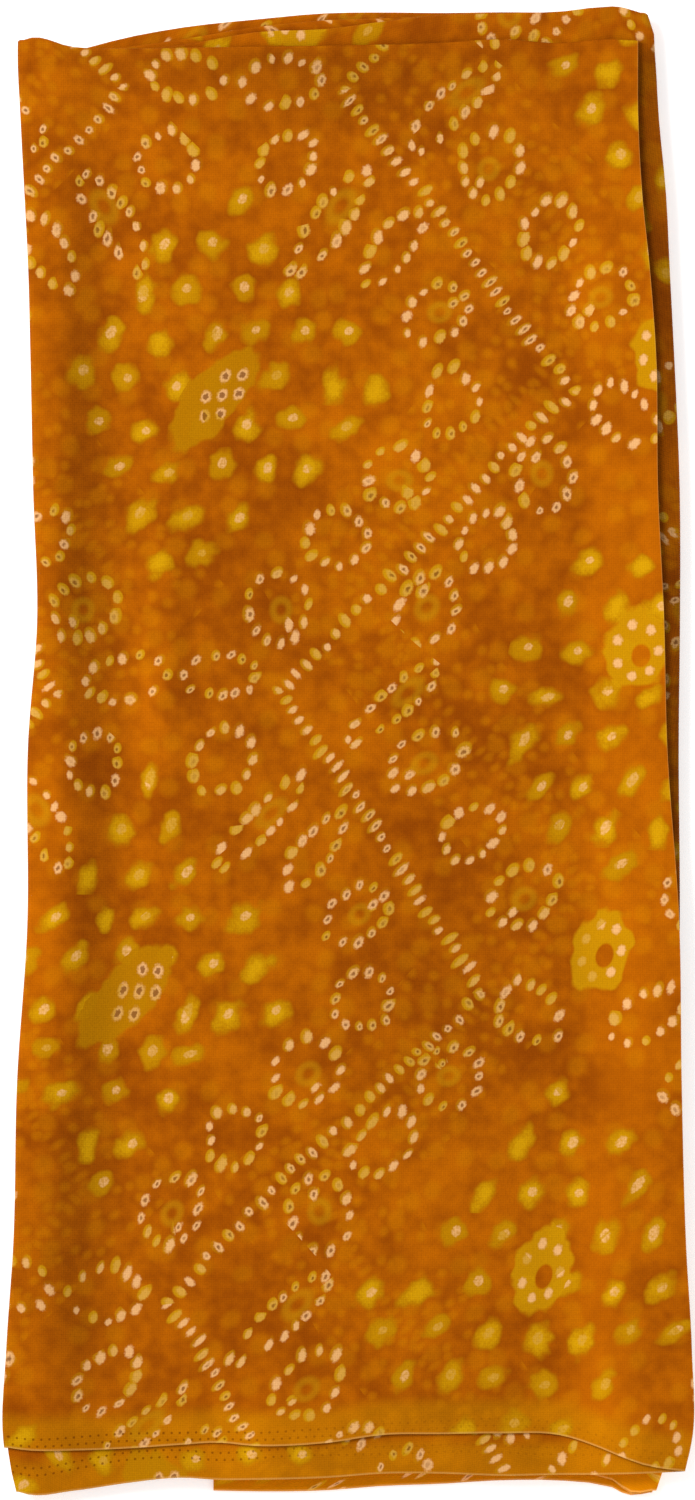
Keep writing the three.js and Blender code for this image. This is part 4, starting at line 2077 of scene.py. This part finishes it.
@dataclass(frozen=True)
class Lamp:
    """A round soft lamp that faces the cloth, in metres and watts.

    Args:
        name: Its name.
        place: Where it is.
        size: How wide it is.
        power: How strong it is.
    """

    name: str
    place: Triple
    size: float
    power: float

    def build(self) -> None:
        """Adds the lamp."""
        data = bpy.data.lights.new(self.name, "AREA")
        data.shape = "DISK"
        data.size = self.size
        data.energy = self.power
        lamp = bpy.data.objects.new(self.name, data)
        lamp.location = self.place
        lamp.rotation_euler = (-Vector(self.place)).to_track_quat("-Z", "Y").to_euler()
        bpy.context.scene.collection.objects.link(lamp)


@dataclass(frozen=True)
class Studio:
    """The camera, lights and floor.

    Args:
        pixel: Size of one photo pixel on the cloth, in metres.
        photo: The photo's width and height in pixels.
        photo_middle: The pixel that the tables' own origin lies at.
        distance: How far above the cloth the camera is, in metres.
        lamps: A key lamp at the upper left and a weak fill lamp.
        sky: Strength of the even white sky.
        floor_reach: How far the floor reaches to each side, in metres.
        floor_tone: How light the floor is.
        floor_glow: How much it is brightened by light of its own.
    """

    pixel: float = 0.38 * MM
    photo: tuple[int, int] = (695, 1500)
    photo_middle: Pair = (347.0, 751.0)
    distance: float = 5.0
    lamps: tuple[Lamp, Lamp] = (
        Lamp("key", (-0.95, 0.65, 1.5), 0.9, 26.0),
        Lamp("fill", (0.9, -0.5, 1.6), 1.6, 5.0),
    )
    sky: float = 0.62
    floor_reach: float = 1.5
    floor_tone: float = 0.93
    floor_glow: float = 0.4

    def camera(self, middle: Vector) -> None:
        """Looks straight down, framed as the photo is.

        Args:
            middle: Where the stack's middle lies in the tables' own coordinates.
        """
        width, height = self.photo
        data = bpy.data.cameras.new("camera")
        data.sensor_fit = "VERTICAL"
        data.sensor_height = 24.0
        data.lens = data.sensor_height * self.distance / (height * self.pixel)
        camera = bpy.data.objects.new("camera", data)
        x = (width / 2 - self.photo_middle[0]) * self.pixel - middle.x * MM
        y = (self.photo_middle[1] - height / 2) * self.pixel - middle.y * MM
        camera.location = (x, y, STACK * MM + self.distance)
        bpy.context.scene.collection.objects.link(camera)
        bpy.context.scene.camera = camera

    def light(self) -> None:
        """Lights the cloth softly, under an even white sky."""
        for lamp in self.lamps:
            lamp.build()
        world = bpy.data.worlds.new("sky")
        world.use_nodes = True
        sky = world.node_tree.nodes["Background"]
        sky.inputs["Color"].default_value = (1.0, 1.0, 1.0, 1.0)
        sky.inputs["Strength"].default_value = self.sky
        bpy.context.scene.world = world
        bpy.context.scene.view_settings.view_transform = "Standard"

    def floor(self) -> None:
        """Lays the pale surface that the cloth rests on."""
        reach = self.floor_reach
        mesh = bpy.data.meshes.new("surface")
        corners = [(-reach, -reach, 0), (reach, -reach, 0), (reach, reach, 0), (-reach, reach, 0)]
        mesh.from_pydata(corners, [], [(0, 1, 2, 3)])
        material = bpy.data.materials.new("Pale surface")
        material.use_nodes = True
        shader = material.node_tree.nodes["Principled BSDF"]
        shader.inputs["Base Color"].default_value = (self.floor_tone, self.floor_tone, self.floor_tone, 1.0)
        shader.inputs["Roughness"].default_value = 0.9
        shader.inputs["Emission Color"].default_value = (1.0, 1.0, 1.0, 1.0)
        shader.inputs["Emission Strength"].default_value = self.floor_glow
        mesh.materials.append(material)
        surface = bpy.data.objects.new("surface", mesh)
        bpy.context.scene.collection.objects.link(surface)


def main() -> None:
    """Builds the whole scene."""
    logging.basicConfig(level=logging.INFO, format="%(name)s: %(message)s")
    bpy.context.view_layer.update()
    section = Section(fine=132, coarse=52, turns=6)
    strip = FoldedStrip(front_step=4.0, rear_step=9.0, turn_steps=8, section=section)
    middle = Cloth(strip, GeorgetteDye()).build()
    studio = Studio()
    studio.floor()
    studio.camera(middle)
    studio.light()


if __name__ == "__main__":
    main()
